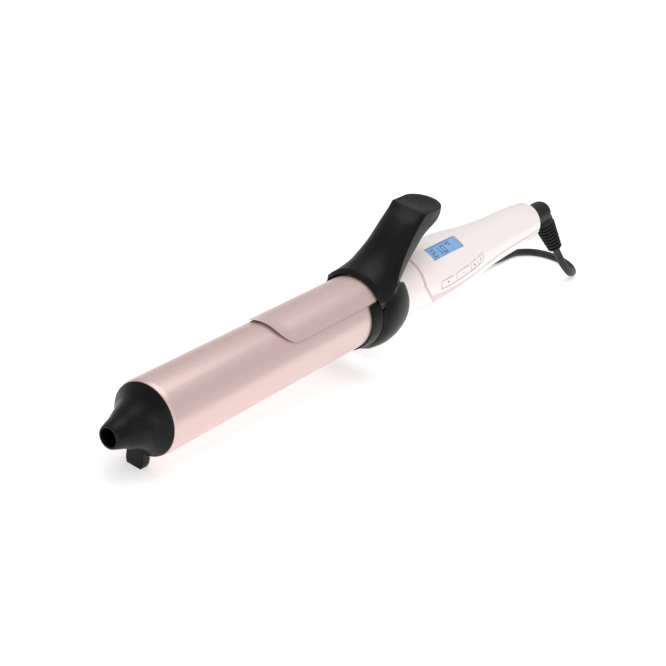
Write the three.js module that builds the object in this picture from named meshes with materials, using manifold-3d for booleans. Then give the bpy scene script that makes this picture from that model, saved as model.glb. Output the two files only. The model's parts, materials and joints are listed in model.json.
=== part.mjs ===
// Curling iron: heated barrel, spring-closed clip with a thumb lever, handle with a display and
// four keys, swivelling cord outlet and a bundled mains lead.
// Millimetres. Inside the iron group +X runs from the tip to the cord along the barrel's axis, the
// keys face -Y and the thumb lever is on top. The group leans nose down onto its two rests, and the
// origin is under the middle of the iron on the surface that it stands on.
import * as THREE from 'three';
import { mergeVertices } from 'three/addons/utils/BufferGeometryUtils.js';
import Module from 'manifold-3d';

const wasm = await Module();
wasm.setup();

// ---- driving dimensions -------------------------------------------------------------------
const GAP = 0.3;                    // between pieces that touch
const SIDES = 32;                   // facets round a large turned piece
const SMALL_SIDES = 12;             // facets round a pin, wire or key
const REACH = 400;                  // longer than anything that a cutting body crosses

// The barrel's rear end stays where the collar holds it, so a longer barrel reaches further forward.
const BARREL = { radius: 19, wall: 1.5, length: 184, rear: 184, roll: 2.2, shoulder: 0.7 };
// The bell's outline goes from the rear, as shares of the tip's length and of its rise from the mouth.
const TIP = { length: 23.2, mouthRadius: 5.9, mouthBore: 4.5, mouthDepth: 15, spigot: 9, wall: 2.2 };
const TIP_OUTLINE = [[-0.87, 0.073], [-0.7, 0.17], [-0.52, 0.323], [-0.35, 0.46], [-0.22, 0.605],
  [-0.11, 0.798], [-0.03, 0.96]];
const FOOT = { x: -1.4, length: 5.2, width: 10.4, drop: 23.9 };
const HEATER = { inset: 14, end: 146, slot: 3.6, clearance: 0.5 };
const CERAMIC = { margin: 6, width: 14, thickness: 2.6 };
const SENSOR = { x: 150.5, length: 6, radius: 1.2, y: 6 };
const FUSE = { x: 151, length: 14, radius: 1.7, y: -6 };

// The collar's and the ring's heights are above the barrel's surface.
const COLLAR = { start: 166, end: 193.4, front: 2.2, rear: 0.8, cavity: 2, wall: 1.2 };
const COLLAR_SHOULDER = [[169.5, 3.9], [175.6, 4.8], [182.8, 4.2], [189.8, 2.4]];
const RING = { start: 157, front: 0.9, rear: 2 };
const BUSH = { start: 171, end: 205, step: 2.9, bore: 8 };

const CLIP = { front: 85, end: 171, stand: 0.4, thickness: 0.8, halfAngle: 49, corner: 11, flare: 1,
  flareLength: 9 };
const RIVET = { x: 168.3, y: 7, radius: 1.1, above: 2, below: 0.8 };
const PIVOT = { x: 176, rise: 2.9, radius: 1.2, halfLength: 8.8, clearance: 0.3 };
const BRACKET = { length: 9, thickness: 0.8, halfWidth: 6.4, ear: 1.6, earHeight: 2.2, window: 3.9,
  tie: 1.4 };
const SPRING = { wire: 0.45, clearance: 0.25, turns: 4, pitch: 1.5, arm: 4.2, armRise: 1.9 };
const SPRING_SIDES = 5;
const LEVER_SWING = 20;             // degrees that the lever travels
const LEVER_POCKET = { halfWidth: 6.9, front: -5.1, shoulder: -2.8, ridge: 1, rear: 7.5, frontTop: -0.1,
  shoulderTop: 2.6, top: 3.5 };
const LEVER_NECK_GAP = 0.35;
const PAD_DISH = { x: 218.2, depth: 0.95, radius: 62 };

const HANDLE = { start: 193.7, end: 361.5, wall: 2, coverWall: 1.8, lining: 1.6 };
const HANDLE_OUTLINE = [[210, 18], [225, 19.6], [240, 20.3], [255, 20], [268, 19], [285, 17],
  [300, 15.6], [318, 14.5], [348, 13.6]];
const HANDLE_NECK = 17.6;
const HANDLE_TAIL = 12.6;
const PARTING = [[193, -7.2], [225, -4.9], [250, -1.8], [366, -0.6]];
const COVER_EDGE = { x: 212.5, cornerZ: 6.7, cornerRun: 10.5, cornerSlope: 1.25 };
const TOE = { x: 190.5, drop: 36.3, length: 9, width: 13, topWidth: 25, front: 167, rear: 204, top: 15,
  waist: 23.8, spare: 2 };

const LENS = { x: 244.6, angle: 21.8, length: 32.4, width: 8.6, thickness: 1.2, seat: 20.05 };
const LCD = { thickness: 2.4, overlap: 1.6, depth: 3.5 };
const BOARD = { start: 222, length: 68, width: 20, thickness: 1.6, y: 1, z: 3.2 };
const STRIP = { x: 253.4, z: 4.9, length: 53, width: 5.2, lean: 2.1, sink: 0.5, thickness: 1.8 };
const KEYS = [['plus_key', -18.6, 13], ['minus_key', -1.4, 15.4], ['lock_key', 13, 8.4],
  ['power_key', 21.3, 5.8]];
const KEY = { width: 3.6, stand: 0.35, thickness: 1.5, stem: 0.8, travel: 0.5 };
const SWITCH = { size: 3.4, height: 1.8, gap: 0.75 };
const SIDE_BOARD = { thickness: 1.2, width: 4.8, length: 48, drop: 2.6, shift: -1 };
const SHELL_SCREW = { xs: [232, 338], head: 2.6, shank: 1.3, headHeight: 1.6, boss: 3.4, recess: 1.2 };

const SWIVEL = { collar: 9.4, neck: 6.4, plate: 2.2, socketStart: 348, socket: 4, elbowX: 384, elbow: 7.7 };
const GUARD = { reach: [13.2, -12, -25], baseRadius: 7.2, tipRadius: 4.9, rings: 8, start: 0.3,
  groove: 0.9, share: 0.62 };
const CONTACT = { radius: 2.2, length: 9, sleeve: 0.6, block: 1.5, start: 342, room: 2 };

const LEAD = { radius: 0.85, sides: 6 };
const HEATER_LEAD = [[140.4, 2.2, 0], [185, 2.2, 0], [210, 2.2, 0.4], [229, 2.2, 1.2]];
const FUSE_LINK = [[140.4, -4, 0], [145, -5, 0], [150.6, -6, 0]];
const FUSE_LEAD = [[165.4, -6, 0], [190, -5, 0], [210, -5, 0.4], [229, -5, 1.2]];
const SENSOR_LEAD = [[156.9, 6, 0], [185, 6, 0], [210, 6, 0.4], [229, 6, 1.2]];
const SUPPLY_LEAD = [[284, 4, 1.2], [300, 4, 1.2], [330, 2.4, 0.4], [341.4, 1.2, 0]];

// The mains lead, in the frame that the iron stands in.
const CORD = { radius: 2.5, sides: 8, steps: 24, straight: 12 };
const CORD_ROUTE = [[220.4, -19.5, 9.2], [227.3, -20.2, 5.3], [234.9, -18.7, 3.3], [238.6, -17, 2.6],
  [244.3, -12.4, 2.5], [248.3, -5.5, 2.5], [249.3, 2.4, 2.5], [247.2, 10.1, 2.5], [242.4, 16.4, 2.5],
  [235.5, 20.7, 2.5], [229, 23.2, 2.5], [222, 24, 2.5], [206, 24, 2.8], [190, 24, 3.6]];
const TAIL_ROUTE = [[61.2, 25, 13.6], [54, 25.9, 12.9], [46, 28.4, 10.9], [38, 31.6, 8.6], [31, 34.2, 7.2],
  [24.4, 35, 6.85]];
const HANK = { x: 124, y: 44, halfRun: 47, endRadius: 22.5, waist: 10, bottom: 1.2, height: 15 };
const TIE = { width: 6, thickness: 0.8, clearance: 0.4 };
const PLUG = { front: -12, rear: 24, shoulder: 2, frontWidth: 35.3, rearWidth: 12, height: 13.7, bevel: 2 };
const PLUG_PIN = { radius: 2, length: 19, spacing: 18.6 };

// ---- geometry helpers -----------------------------------------------------------------------
function solid(geometry) {
  const bare = geometry.clone();
  bare.deleteAttribute('normal');
  bare.deleteAttribute('uv');
  const merged = mergeVertices(bare.index ? bare.toNonIndexed() : bare, 1e-4);
  return new wasm.Manifold(new wasm.Mesh({
    numProp: 3,
    vertProperties: new Float32Array(merged.attributes.position.array),
    triVerts: new Uint32Array(merged.index.array),
  }));
}

function surface(body) {
  const mesh = body.getMesh();
  const geometry = new THREE.BufferGeometry();
  geometry.setAttribute('position', new THREE.BufferAttribute(mesh.vertProperties, 3));
  geometry.setIndex(new THREE.BufferAttribute(mesh.triVerts, 1));
  return geometry;
}

// A profile of [x, radius] points is turned about the X axis.
function turned(profile, sides = SIDES) {
  const points = profile.map(([x, radius]) => new THREE.Vector2(radius, x));
  return new THREE.LatheGeometry(points, sides).rotateZ(-Math.PI / 2);
}

function rod(start, end, radius, sides = SIDES) {
  return solid(turned([[start, 0], [start, radius], [end, radius], [end, 0]], sides));
}

function tube(start, end, outer, inner, sides = SIDES) {
  return rod(start, end, outer, sides).subtract(rod(start - 1, end + 1, inner, sides));
}

function block(length, width, height, x, y, z) {
  return solid(new THREE.BoxGeometry(length, width, height).translate(x, y, z));
}

// An outline of [x, z] points is given a width in Y about a middle plane.
function slab(outline, width, y = 0) {
  const shape = new THREE.Shape(outline.map(([x, z]) => new THREE.Vector2(x, z)));
  const geometry = new THREE.ExtrudeGeometry(shape, { depth: width, bevelEnabled: false });
  return solid(geometry.rotateX(Math.PI / 2).translate(0, y + width / 2, 0));
}

// An outline of [x, y] points is given a height in Z.
function plate(outline, bottom, top) {
  const shape = new THREE.Shape(outline.map(([x, y]) => new THREE.Vector2(x, y)));
  const geometry = new THREE.ExtrudeGeometry(shape, { depth: top - bottom, bevelEnabled: false });
  return solid(geometry.translate(0, 0, bottom));
}

function pill(length, width) {
  const half = length / 2 - width / 2;
  const shape = new THREE.Shape();
  shape.absarc(half, 0, width / 2, -Math.PI / 2, Math.PI / 2);
  shape.absarc(-half, 0, width / 2, Math.PI / 2, Math.PI * 1.5);
  return shape;
}

function crossPin(x, z, radius, width, y = 0, sides = SMALL_SIDES) {
  return solid(new THREE.CylinderGeometry(radius, radius, width, sides).translate(x, y, z));
}

// A wire or cord follows points with a round section.
function strand(points, radius, sides, steps) {
  const ring = new THREE.Shape();
  ring.absarc(0, 0, radius, 0, Math.PI * 2);
  const path = new THREE.CatmullRomCurve3(points.map((p) => new THREE.Vector3(...p)));
  const options = { extrudePath: path, steps, curveSegments: sides, bevelEnabled: false };
  return new THREE.ExtrudeGeometry(ring, options);
}

const handleProfile = [[HANDLE.start, HANDLE_NECK], ...HANDLE_OUTLINE, [HANDLE.end, HANDLE_TAIL]];
const handleCurve = new THREE.CatmullRomCurve3(
  handleProfile.map(([x, radius]) => new THREE.Vector3(x, radius, 0)),
);
const HANDLE_STATIONS = 14;

// The handle's turned body, smaller by an inset all round, between two places along it.
function handleBody(inset, start = HANDLE.start, end = HANDLE.end) {
  const points = handleCurve.getPoints(HANDLE_STATIONS).map((p) => [p.x, p.y - inset]);
  const first = points[0];
  const last = points[points.length - 1];
  const profile = [[first[0], 0], ...points, [last[0], 0]];
  const whole = solid(turned(profile));
  const length = end - start;
  return whole.intersect(block(length, REACH, REACH, start + length / 2, 0, 0));
}

function handleRadius(x) {
  const points = handleCurve.getPoints(HANDLE_STATIONS);
  const next = points.findIndex((p) => p.x >= x);
  const before = points[Math.max(next - 1, 0)];
  const after = points[next];
  return THREE.MathUtils.mapLinear(x, before.x, after.x, before.y, after.y);
}

// ---- how the iron rests -----------------------------------------------------------------------
const barrelFront = BARREL.rear - BARREL.length;
const footX = barrelFront + FOOT.x;
const REST_TILT = Math.atan2(TOE.drop - FOOT.drop, TOE.x - footX);
const REST_LIFT = FOOT.drop * Math.cos(REST_TILT) - footX * Math.sin(REST_TILT);

function aboveRest(body) {
  const below = new THREE.BoxGeometry(REACH * 2, REACH, REACH);
  below.translate(0, 0, -REACH / 2 - REST_LIFT).rotateY(REST_TILT);
  return body.subtract(solid(below));
}

// ---- barrel and heater ------------------------------------------------------------------------
const barrelBore = BARREL.radius - BARREL.wall;
const rimRadius = BARREL.radius - BARREL.shoulder;

function barrel() {
  const front = barrelFront + GAP;
  const rim = [[front, barrelBore], [front, rimRadius], [barrelFront + BARREL.roll, BARREL.radius]];
  const rear = [[BARREL.rear, BARREL.radius], [BARREL.rear, barrelBore]];
  return solid(turned([...rim, ...rear, rim[0]]));
}

// Made with its rear face at 0 and then moved to the barrel's front.
function tipCap() {
  const r = BARREL.radius;
  const mouth = TIP.mouthRadius;
  const rise = rimRadius - mouth;
  const bell = TIP_OUTLINE.map(([share, risen]) => [share * TIP.length, mouth + rise * risen]);
  const outline = [[-TIP.length, mouth], ...bell, [0, rimRadius]];
  const spigotRadius = barrelBore - GAP;
  const inside = [[0, spigotRadius], [TIP.spigot, spigotRadius], [TIP.spigot, 0]];
  const profile = [[-TIP.length, 0], ...outline, ...inside];
  const bore = rod(-TIP.length - 1, TIP.mouthDepth - TIP.length, TIP.mouthBore, SIDES);
  const hollow = rod(GAP, TIP.spigot + 1, spigotRadius - TIP.wall);
  const footHeight = FOOT.drop - r / 2;
  const foot = block(FOOT.length, FOOT.width, footHeight, FOOT.x, 0, footHeight / 2 - FOOT.drop);
  const underBarrel = rod(GAP / 2, REACH, r + GAP);
  const spigot = rod(-1, TIP.spigot, spigotRadius);
  const body = solid(turned(profile)).add(foot.subtract(underBarrel)).add(spigot);
  return aboveRest(body.subtract(bore).subtract(hollow).translate([barrelFront, 0, 0]));
}

const heaterStart = barrelFront + HEATER.inset;

function heaterHalf(side) {
  const radius = barrelBore - HEATER.clearance;
  const half = rod(heaterStart, HEATER.end, radius);
  const z = side * (radius + HEATER.slot / 2);
  return half.intersect(block(REACH * 2, REACH, radius * 2, 0, 0, z));
}

function ceramicHeater() {
  const length = HEATER.end - heaterStart - CERAMIC.margin * 2;
  return block(length, CERAMIC.width, CERAMIC.thickness, (heaterStart + HEATER.end) / 2, 0, 0);
}

function alongX(start, length, radius, y, z) {
  return rod(start, start + length, radius, SMALL_SIDES).translate([0, y, z]);
}

// ---- collar, bush and hinge -------------------------------------------------------------------
// The opening that the clip and the lever's base drop into, with upright sides.
const LEVER_BASE = [[160, 15.3], [165.8, 15.3], [165.8, 19.5], [176, 18.6], [180, 17.4], [185, 15.2],
  [190, 13.6], [198, 12.2]];
const LEVER_BASE_FLOOR = 8;
const bushRadius = barrelBore - BUSH.step;
const clipRadius = BARREL.radius + CLIP.stand;
const pivotZ = BARREL.radius + PIVOT.rise;
const onBarrel = ([x, height]) => [x, BARREL.radius + height];
const collarShoulder = COLLAR_SHOULDER.map(onBarrel);
const collarFront = BARREL.radius + COLLAR.front;
const collarRear = BARREL.radius + COLLAR.rear;

function leverOpening(clearance) {
  const sides = LEVER_BASE.map(([x, y]) => [x, y + clearance]);
  const first = LEVER_BASE[0][0] - REACH / 4;
  const near = [[first, sides[0][1]], ...sides];
  const far = near.map(([x, y]) => [x, -y]).reverse();
  return plate([...far, ...near], LEVER_BASE_FLOOR, REACH / 4);
}

function collar() {
  const inner = BARREL.radius + GAP;
  const bore = bushRadius + GAP;
  const rearWall = COLLAR.end - COLLAR.wall;
  const cavityStart = BARREL.rear + GAP;
  const outside = [[COLLAR.start, collarFront], ...collarShoulder, [COLLAR.end, collarRear]];
  const cavity = [[COLLAR.end, bore], [rearWall, bore], [rearWall, collarRear - COLLAR.wall],
    [cavityStart + COLLAR.wall, BARREL.radius + COLLAR.cavity], [cavityStart, inner]];
  const profile = [[COLLAR.start, inner], ...outside, ...cavity, [COLLAR.start, inner]];
  return solid(turned(profile)).subtract(leverOpening(GAP));
}

function collarRing() {
  const inner = BARREL.radius + GAP;
  const end = COLLAR.start - GAP;
  const profile = [[RING.start, inner], [RING.start, BARREL.radius + RING.front],
    [end, BARREL.radius + RING.rear], [end, inner], [RING.start, inner]];
  return solid(turned(profile)).subtract(leverOpening(GAP));
}

function heatBush() {
  const front = rod(BUSH.start, BARREL.rear - GAP, barrelBore - GAP);
  const rear = rod(BARREL.rear - 1, BUSH.end, bushRadius);
  return front.add(rear).subtract(rod(0, REACH, BUSH.bore));
}

function hingeBracket() {
  const under = BARREL.radius + GAP;
  const halfLength = BRACKET.length / 2;
  const outer = BRACKET.halfWidth;
  const x = PIVOT.x;
  const saddle = tube(x - halfLength, x + halfLength, under + BRACKET.thickness, under)
    .intersect(block(BRACKET.length, outer * 2, REACH, x, 0, REACH / 2))
    .subtract(block(BRACKET.length, BRACKET.window * 2, REACH, x - BRACKET.tie, 0, REACH / 2));
  const earTop = pivotZ + BRACKET.earHeight;
  const earMiddle = outer - BRACKET.ear / 2;
  const earOutline = [[x - halfLength, under - 1], [x + halfLength, under - 1],
    [x + BRACKET.earHeight, earTop], [x - BRACKET.earHeight, earTop]];
  const ears = slab(earOutline, BRACKET.ear, earMiddle).add(slab(earOutline, BRACKET.ear, -earMiddle))
    .subtract(rod(0, REACH, under));
  const hole = crossPin(x, pivotZ, PIVOT.radius + GAP, REACH);
  return saddle.add(ears).subtract(hole);
}

function hingePin() {
  return crossPin(PIVOT.x, pivotZ, PIVOT.radius, PIVOT.halfLength * 2);
}

function leverSpring() {
  const points = [];
  const width = SPRING.turns * SPRING.pitch;
  const perTurn = 8;
  const coil = PIVOT.radius + SPRING.clearance + SPRING.wire;
  points.push([PIVOT.x - SPRING.arm, -width / 2, pivotZ - coil]);
  for (let i = 0; i <= SPRING.turns * perTurn - perTurn / 2; i += 1) {
    const angle = (i / perTurn) * Math.PI * 2;
    const y = -width / 2 + (i / perTurn) * SPRING.pitch;
    points.push([PIVOT.x + coil * Math.sin(angle), y, pivotZ - coil * Math.cos(angle)]);
  }
  const last = points[points.length - 1];
  points.push([PIVOT.x - SPRING.arm / 2, last[1], pivotZ + SPRING.armRise]);
  return strand(points, SPRING.wire, SPRING_SIDES, points.length);
}

// ---- clip and lever -----------------------------------------------------------------------------
function clip() {
  const outer = clipRadius + CLIP.thickness;
  const halfWidth = outer * Math.sin(THREE.MathUtils.degToRad(CLIP.halfAngle));
  const shape = new THREE.Shape();
  shape.moveTo(CLIP.end, -halfWidth);
  shape.lineTo(CLIP.end, halfWidth);
  shape.lineTo(CLIP.front + CLIP.corner, halfWidth);
  shape.absarc(CLIP.front + CLIP.corner, halfWidth - CLIP.corner, CLIP.corner, Math.PI / 2, Math.PI);
  shape.absarc(CLIP.front + CLIP.corner, CLIP.corner - halfWidth, CLIP.corner, Math.PI, Math.PI * 1.5);
  shape.closePath();
  const options = { depth: REACH / 2, bevelEnabled: false, curveSegments: 6 };
  const outline = solid(new THREE.ExtrudeGeometry(shape, options));
  const lip = [CLIP.front - 1, clipRadius + CLIP.flare];
  const bend = [CLIP.front + CLIP.flareLength, clipRadius];
  const rear = [CLIP.end + 1, clipRadius];
  const raised = ([x, radius]) => [x, radius + CLIP.thickness];
  const wall = turned([lip, raised(lip), raised(bend), raised(rear), rear, bend, lip]);
  const sheet = solid(wall).intersect(outline);
  const holes = rivetShank(1, GAP).add(rivetShank(-1, GAP));
  return sheet.subtract(holes);
}

function rivetShank(side, clearance) {
  const height = RIVET.above + RIVET.below + clearance * 2;
  const z = clipRadius + (RIVET.above - RIVET.below) / 2;
  const radius = RIVET.radius + clearance;
  const shank = new THREE.CylinderGeometry(radius, radius, height, SMALL_SIDES).rotateX(Math.PI / 2);
  return solid(shank.translate(RIVET.x, side * RIVET.y, z));
}

// Sections from the hood's front rim to the thumb pad. Each has the middle of its upper and of its
// under side as [x, height above the barrel], their half widths, how far the edge lies from the
// middle, and roundness.
const LEVER_SECTIONS = [
  { top: [166.4, 4.9], under: [163.8, 2.4], topHalf: 19.2, underHalf: 17.6, topSag: [0, -10.1],
    underSag: [0, -9.2], round: 0.8 },
  { top: [171.4, 6.6], under: [172, 1.7], topHalf: 19, underHalf: 17.2, topSag: [1, -11.4],
    underSag: [0, -8.6], round: 0.8 },
  { top: [177.4, 10], under: [181, 1.9], topHalf: 17, underHalf: 15.6, topSag: [2.2, -11.4],
    underSag: [0, -6.6], round: 0.82 },
  { top: [183, 14.6], under: [190, 3.6], topHalf: 14.6, underHalf: 13.2, topSag: [1.5, -9.6],
    underSag: [0, -3], round: 0.85 },
  { top: [188, 20], under: [197, 8], topHalf: 13, underHalf: 11.8, topSag: [1.2, -9.2],
    underSag: [0, -1], round: 0.87 },
  { top: [192.8, 24.6], under: [203.6, 13.4], topHalf: 12.1, underHalf: 11.2, topSag: [1, -7.6],
    underSag: [0, -0.4], round: 0.9 },
  { top: [197.4, 28.2], under: [211, 18.4], topHalf: 11.6, underHalf: 10.9, topSag: [1.2, -5.2],
    underSag: [-1, 0.4], round: 0.92 },
  { top: [202.4, 30.6], under: [230, 24.6], topHalf: 11.3, underHalf: 11.2, topSag: [1.2, -2.4],
    underSag: [-9, 0.6], round: 0.94 },
  { top: [205.8, 32.4], under: [230.6, 32], topHalf: 11.3, underHalf: 11.5, topSag: [1.2, -0.2],
    underSag: [-9, 0], round: 0.95 },
];
const LEVER_STEPS = { along: 18, across: 12 };

function leverSection(at) {
  const place = at * (LEVER_SECTIONS.length - 1);
  const index = Math.min(Math.floor(place), LEVER_SECTIONS.length - 2);
  const clamp = (i) => LEVER_SECTIONS[THREE.MathUtils.clamp(i, 0, LEVER_SECTIONS.length - 1)];
  const around = [clamp(index - 1), clamp(index), clamp(index + 1), clamp(index + 2)];
  const t = place - index;
  const smooth = (values) => {
    const [a, b, c, d] = values;
    return b + 0.5 * t * (c - a + t * (2 * a - 5 * b + 4 * c - d + t * (3 * (b - c) + d - a)));
  };
  const pair = (key) => [0, 1].map((i) => smooth(around.map((s) => s[key][i])));
  const one = (key) => smooth(around.map((s) => s[key]));
  return { top: pair('top'), under: pair('under'), topSag: pair('topSag'), underSag: pair('underSag'),
    topHalf: one('topHalf'), underHalf: one('underHalf'), round: one('round') };
}

// along and height run 0 to 1, across runs -1 to 1.
function leverPoint(along, across, height) {
  const s = leverSection(along);
  const bow = (1 - Math.sqrt(1 - (s.round * across) ** 2)) / (1 - Math.sqrt(1 - s.round ** 2));
  const place = (middle, half, sag) => [middle[0] + sag[0] * bow, half * across,
    BARREL.radius + middle[1] + sag[1] * bow];
  const top = place(s.top, s.topHalf, s.topSag);
  const under = place(s.under, s.underHalf, s.underSag);
  return top.map((value, i) => THREE.MathUtils.lerp(under[i], value, height));
}

function leverBlank() {
  const geometry = new THREE.BoxGeometry(1, 2, 1, LEVER_STEPS.along, LEVER_STEPS.across, 2);
  const position = geometry.attributes.position;
  for (let i = 0; i < position.count; i += 1) {
    const point = leverPoint(position.getX(i) + 0.5, position.getY(i), position.getZ(i) + 0.5);
    position.setXYZ(i, ...point);
  }
  return solid(geometry);
}

// Everything fixed that the lever swings over, with room round it.
function fixedCore() {
  const room = LEVER_NECK_GAP;
  const clipRoom = clipRadius + CLIP.thickness + GAP;
  return rod(RING.start, CLIP.end + GAP, clipRoom, SIDES)
    .add(rod(CLIP.end, BARREL.rear + GAP, BARREL.radius + room, SIDES))
    .add(rod(BARREL.rear, HANDLE.start, bushRadius + room, SIDES));
}

function swung(body, degrees) {
  return body.translate([-PIVOT.x, 0, -pivotZ]).rotate([0, degrees, 0]).translate([PIVOT.x, 0, pivotZ]);
}

function lever() {
  let body = leverBlank();
  const moving = rod(CLIP.end, BARREL.rear + GAP, BARREL.radius + LEVER_NECK_GAP)
    .add(rod(BARREL.rear, HANDLE.start, bushRadius + LEVER_NECK_GAP))
    .add(handleBody(-LEVER_NECK_GAP).translate([-GAP, 0, 0]));
  const steps = 4;
  for (let i = 0; i <= steps; i += 1) {
    body = body.subtract(swung(moving, (-LEVER_SWING * i) / steps));
  }
  const roof = [[LEVER_POCKET.rear, LEVER_POCKET.top], [LEVER_POCKET.ridge, LEVER_POCKET.top],
    [LEVER_POCKET.shoulder, LEVER_POCKET.shoulderTop], [LEVER_POCKET.front, LEVER_POCKET.frontTop]];
  const pocket = slab([[PIVOT.x + LEVER_POCKET.front, 0], [PIVOT.x + LEVER_POCKET.rear, 0],
    ...roof.map(([x, z]) => [PIVOT.x + x, pivotZ + z])], LEVER_POCKET.halfWidth * 2);
  const seatRadius = PIVOT.radius + PIVOT.clearance;
  const seatWidth = (PIVOT.halfLength + GAP) * 2;
  const seat = crossPin(PIVOT.x, pivotZ, seatRadius, seatWidth)
    .add(block(seatRadius * 2, seatWidth, pivotZ, PIVOT.x, 0, pivotZ / 2));
  const rivets = rivetShank(1, GAP).add(rivetShank(-1, GAP));
  const bowl = new THREE.SphereGeometry(PAD_DISH.radius, SIDES * 2, SIDES);
  const dish = solid(bowl.translate(PAD_DISH.x, 0, padTop() + PAD_DISH.radius - PAD_DISH.depth));
  body = body.subtract(fixedCore()).subtract(pocket).subtract(seat);
  return body.subtract(rivets).subtract(dish);
}

function padTop() {
  const last = LEVER_SECTIONS[LEVER_SECTIONS.length - 1];
  return BARREL.radius + (last.top[1] + last.under[1]) / 2;
}

// ---- handle -------------------------------------------------------------------------------------
function underParting(offset) {
  const edge = PARTING.map(([x, z]) => [x, z + offset]);
  const first = edge[0];
  const last = edge[edge.length - 1];
  return slab([[first[0] - REACH / 4, -REACH / 2], [last[0] + REACH / 4, -REACH / 2],
    [last[0] + REACH / 4, last[1]], ...edge.slice().reverse(), [first[0] - REACH / 4, first[1]]], REACH);
}

function behindCoverEdge(offset) {
  const x = COVER_EDGE.x + offset;
  const z = COVER_EDGE.cornerZ;
  const run = COVER_EDGE.cornerRun;
  const foot = z - run * 2 * COVER_EDGE.cornerSlope;
  return slab([[x, REACH / 4], [x, z], [x + run * 2, foot], [REACH * 1.5, foot],
    [REACH * 1.5, REACH / 4]], REACH);
}

function swivelRoom(clearance) {
  const start = SWIVEL.socketStart - clearance;
  const collarEnd = SWIVEL.socketStart + SWIVEL.plate + clearance;
  return rod(start, collarEnd, SWIVEL.collar + clearance)
    .add(rod(start, HANDLE.end + 1, SWIVEL.neck + clearance));
}

// The flat lens looks along this direction: turned from straight up towards the keys.
function facing(body, radius, x) {
  return body.translate([x, 0, radius]).rotate([LENS.angle, 0, 0]);
}

function lensPlate(grow, thickness, top) {
  const shape = new THREE.Shape();
  const halfLength = LENS.length / 2 + grow;
  const halfWidth = LENS.width / 2 + grow;
  shape.moveTo(-halfLength, -halfWidth);
  shape.lineTo(halfLength, -halfWidth);
  shape.lineTo(halfLength, halfWidth);
  shape.lineTo(-halfLength, halfWidth);
  shape.closePath();
  const geometry = new THREE.ExtrudeGeometry(shape, { depth: thickness, bevelEnabled: false });
  return facing(solid(geometry.translate(0, 0, top - thickness)), LENS.seat, LENS.x);
}

// A pill or key outline on the handle's side, carried inwards from outside the cover.
function sidePrism(length, width, along, clearance = 0) {
  const shape = pill(length + clearance * 2, width + clearance * 2);
  const options = { depth: HANDLE_OUTLINE[2][1] * 0.7, bevelEnabled: false, curveSegments: 4 };
  const geometry = new THREE.ExtrudeGeometry(shape, options);
  geometry.rotateX(Math.PI / 2).translate(along, -HANDLE_OUTLINE[2][1] * 0.45, 0);
  geometry.rotateY(-THREE.MathUtils.degToRad(STRIP.lean)).translate(STRIP.x, 0, STRIP.z);
  return solid(geometry);
}

function topCover() {
  const shell = handleBody(0).subtract(handleBody(HANDLE.coverWall));
  const windowHole = lensPlate(GAP, REACH / 16, REACH / 32);
  const stripHole = sidePrism(STRIP.length, STRIP.width, 0, GAP);
  return shell.intersect(behindCoverEdge(0)).subtract(underParting(GAP / 2))
    .subtract(windowHole).subtract(stripHole).subtract(swivelRoom(GAP));
}

function bushRoom() {
  return rod(0, BUSH.end + GAP, bushRadius + GAP);
}

function upperShell() {
  const inner = HANDLE.coverWall + GAP + HANDLE.lining;
  const neck = handleBody(0).subtract(behindCoverEdge(-GAP));
  const lining = handleBody(HANDLE.coverWall + GAP);
  const windowHole = lensPlate(LCD.overlap + GAP, REACH / 16, REACH / 32);
  const stripHole = sidePrism(STRIP.length, STRIP.width, 0, GAP);
  return neck.add(lining).subtract(handleBody(inner)).subtract(bushRoom())
    .subtract(underParting(GAP / 2)).subtract(stripHole)
    .subtract(windowHole).subtract(swivelRoom(GAP));
}

// The toe narrows downwards in both directions, to below where the rest's plane cuts it.
function standToe() {
  const bottom = -TOE.drop - TOE.spare;
  const outline = [[TOE.front, -TOE.top], [TOE.x - TOE.length / 2, bottom],
    [TOE.x + TOE.length / 2, bottom], [TOE.rear, -TOE.top]];
  const halfTop = TOE.topWidth / 2;
  const halfFoot = TOE.width / 2;
  const across = [[-halfTop, -TOE.top], [halfTop, -TOE.top], [halfTop, -TOE.waist],
    [halfFoot, bottom], [-halfFoot, bottom], [-halfTop, -TOE.waist]];
  const section = new THREE.Shape(across.map(([y, z]) => new THREE.Vector2(y, z)));
  const options = { depth: REACH, bevelEnabled: false };
  const lengthwise = new THREE.ExtrudeGeometry(section, options);
  lengthwise.rotateX(Math.PI / 2).rotateZ(Math.PI / 2);
  return slab(outline, REACH).intersect(solid(lengthwise));
}

function collarRoom() {
  const end = COLLAR.end + GAP;
  const front = [[RING.start, 0], [RING.start, collarFront + GAP], [COLLAR.start, collarFront + GAP]];
  const crown = collarShoulder.map(([x, radius]) => [x, radius + GAP]);
  return solid(turned([...front, ...crown, [end, collarRear + GAP], [end, 0]]));
}

function lowerShell() {
  const inside = handleBody(HANDLE.wall);
  const toe = standToe().subtract(inside).subtract(rod(0, HANDLE.end, HANDLE_NECK - HANDLE.wall));
  let body = handleBody(0).subtract(inside).add(toe);
  body = body.intersect(underParting(-GAP / 2)).subtract(collarRoom());
  SHELL_SCREW.xs.forEach((x) => {
    body = body.add(screwPost(x, SHELL_SCREW.boss)).subtract(shellScrewShape(x, GAP));
  });
  return aboveRest(body.subtract(bushRoom()).subtract(swivelRoom(GAP)));
}

const POST_TOP = -3.5;

function uprightRod(bottom, top, radius) {
  const geometry = new THREE.CylinderGeometry(radius, radius, top - bottom, SMALL_SIDES);
  return solid(geometry.rotateX(Math.PI / 2).translate(0, 0, (top + bottom) / 2));
}

function screwPost(x, radius) {
  return uprightRod(HANDLE.wall / 2 - handleRadius(x), POST_TOP, radius).translate([x, 0, 0]);
}

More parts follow.
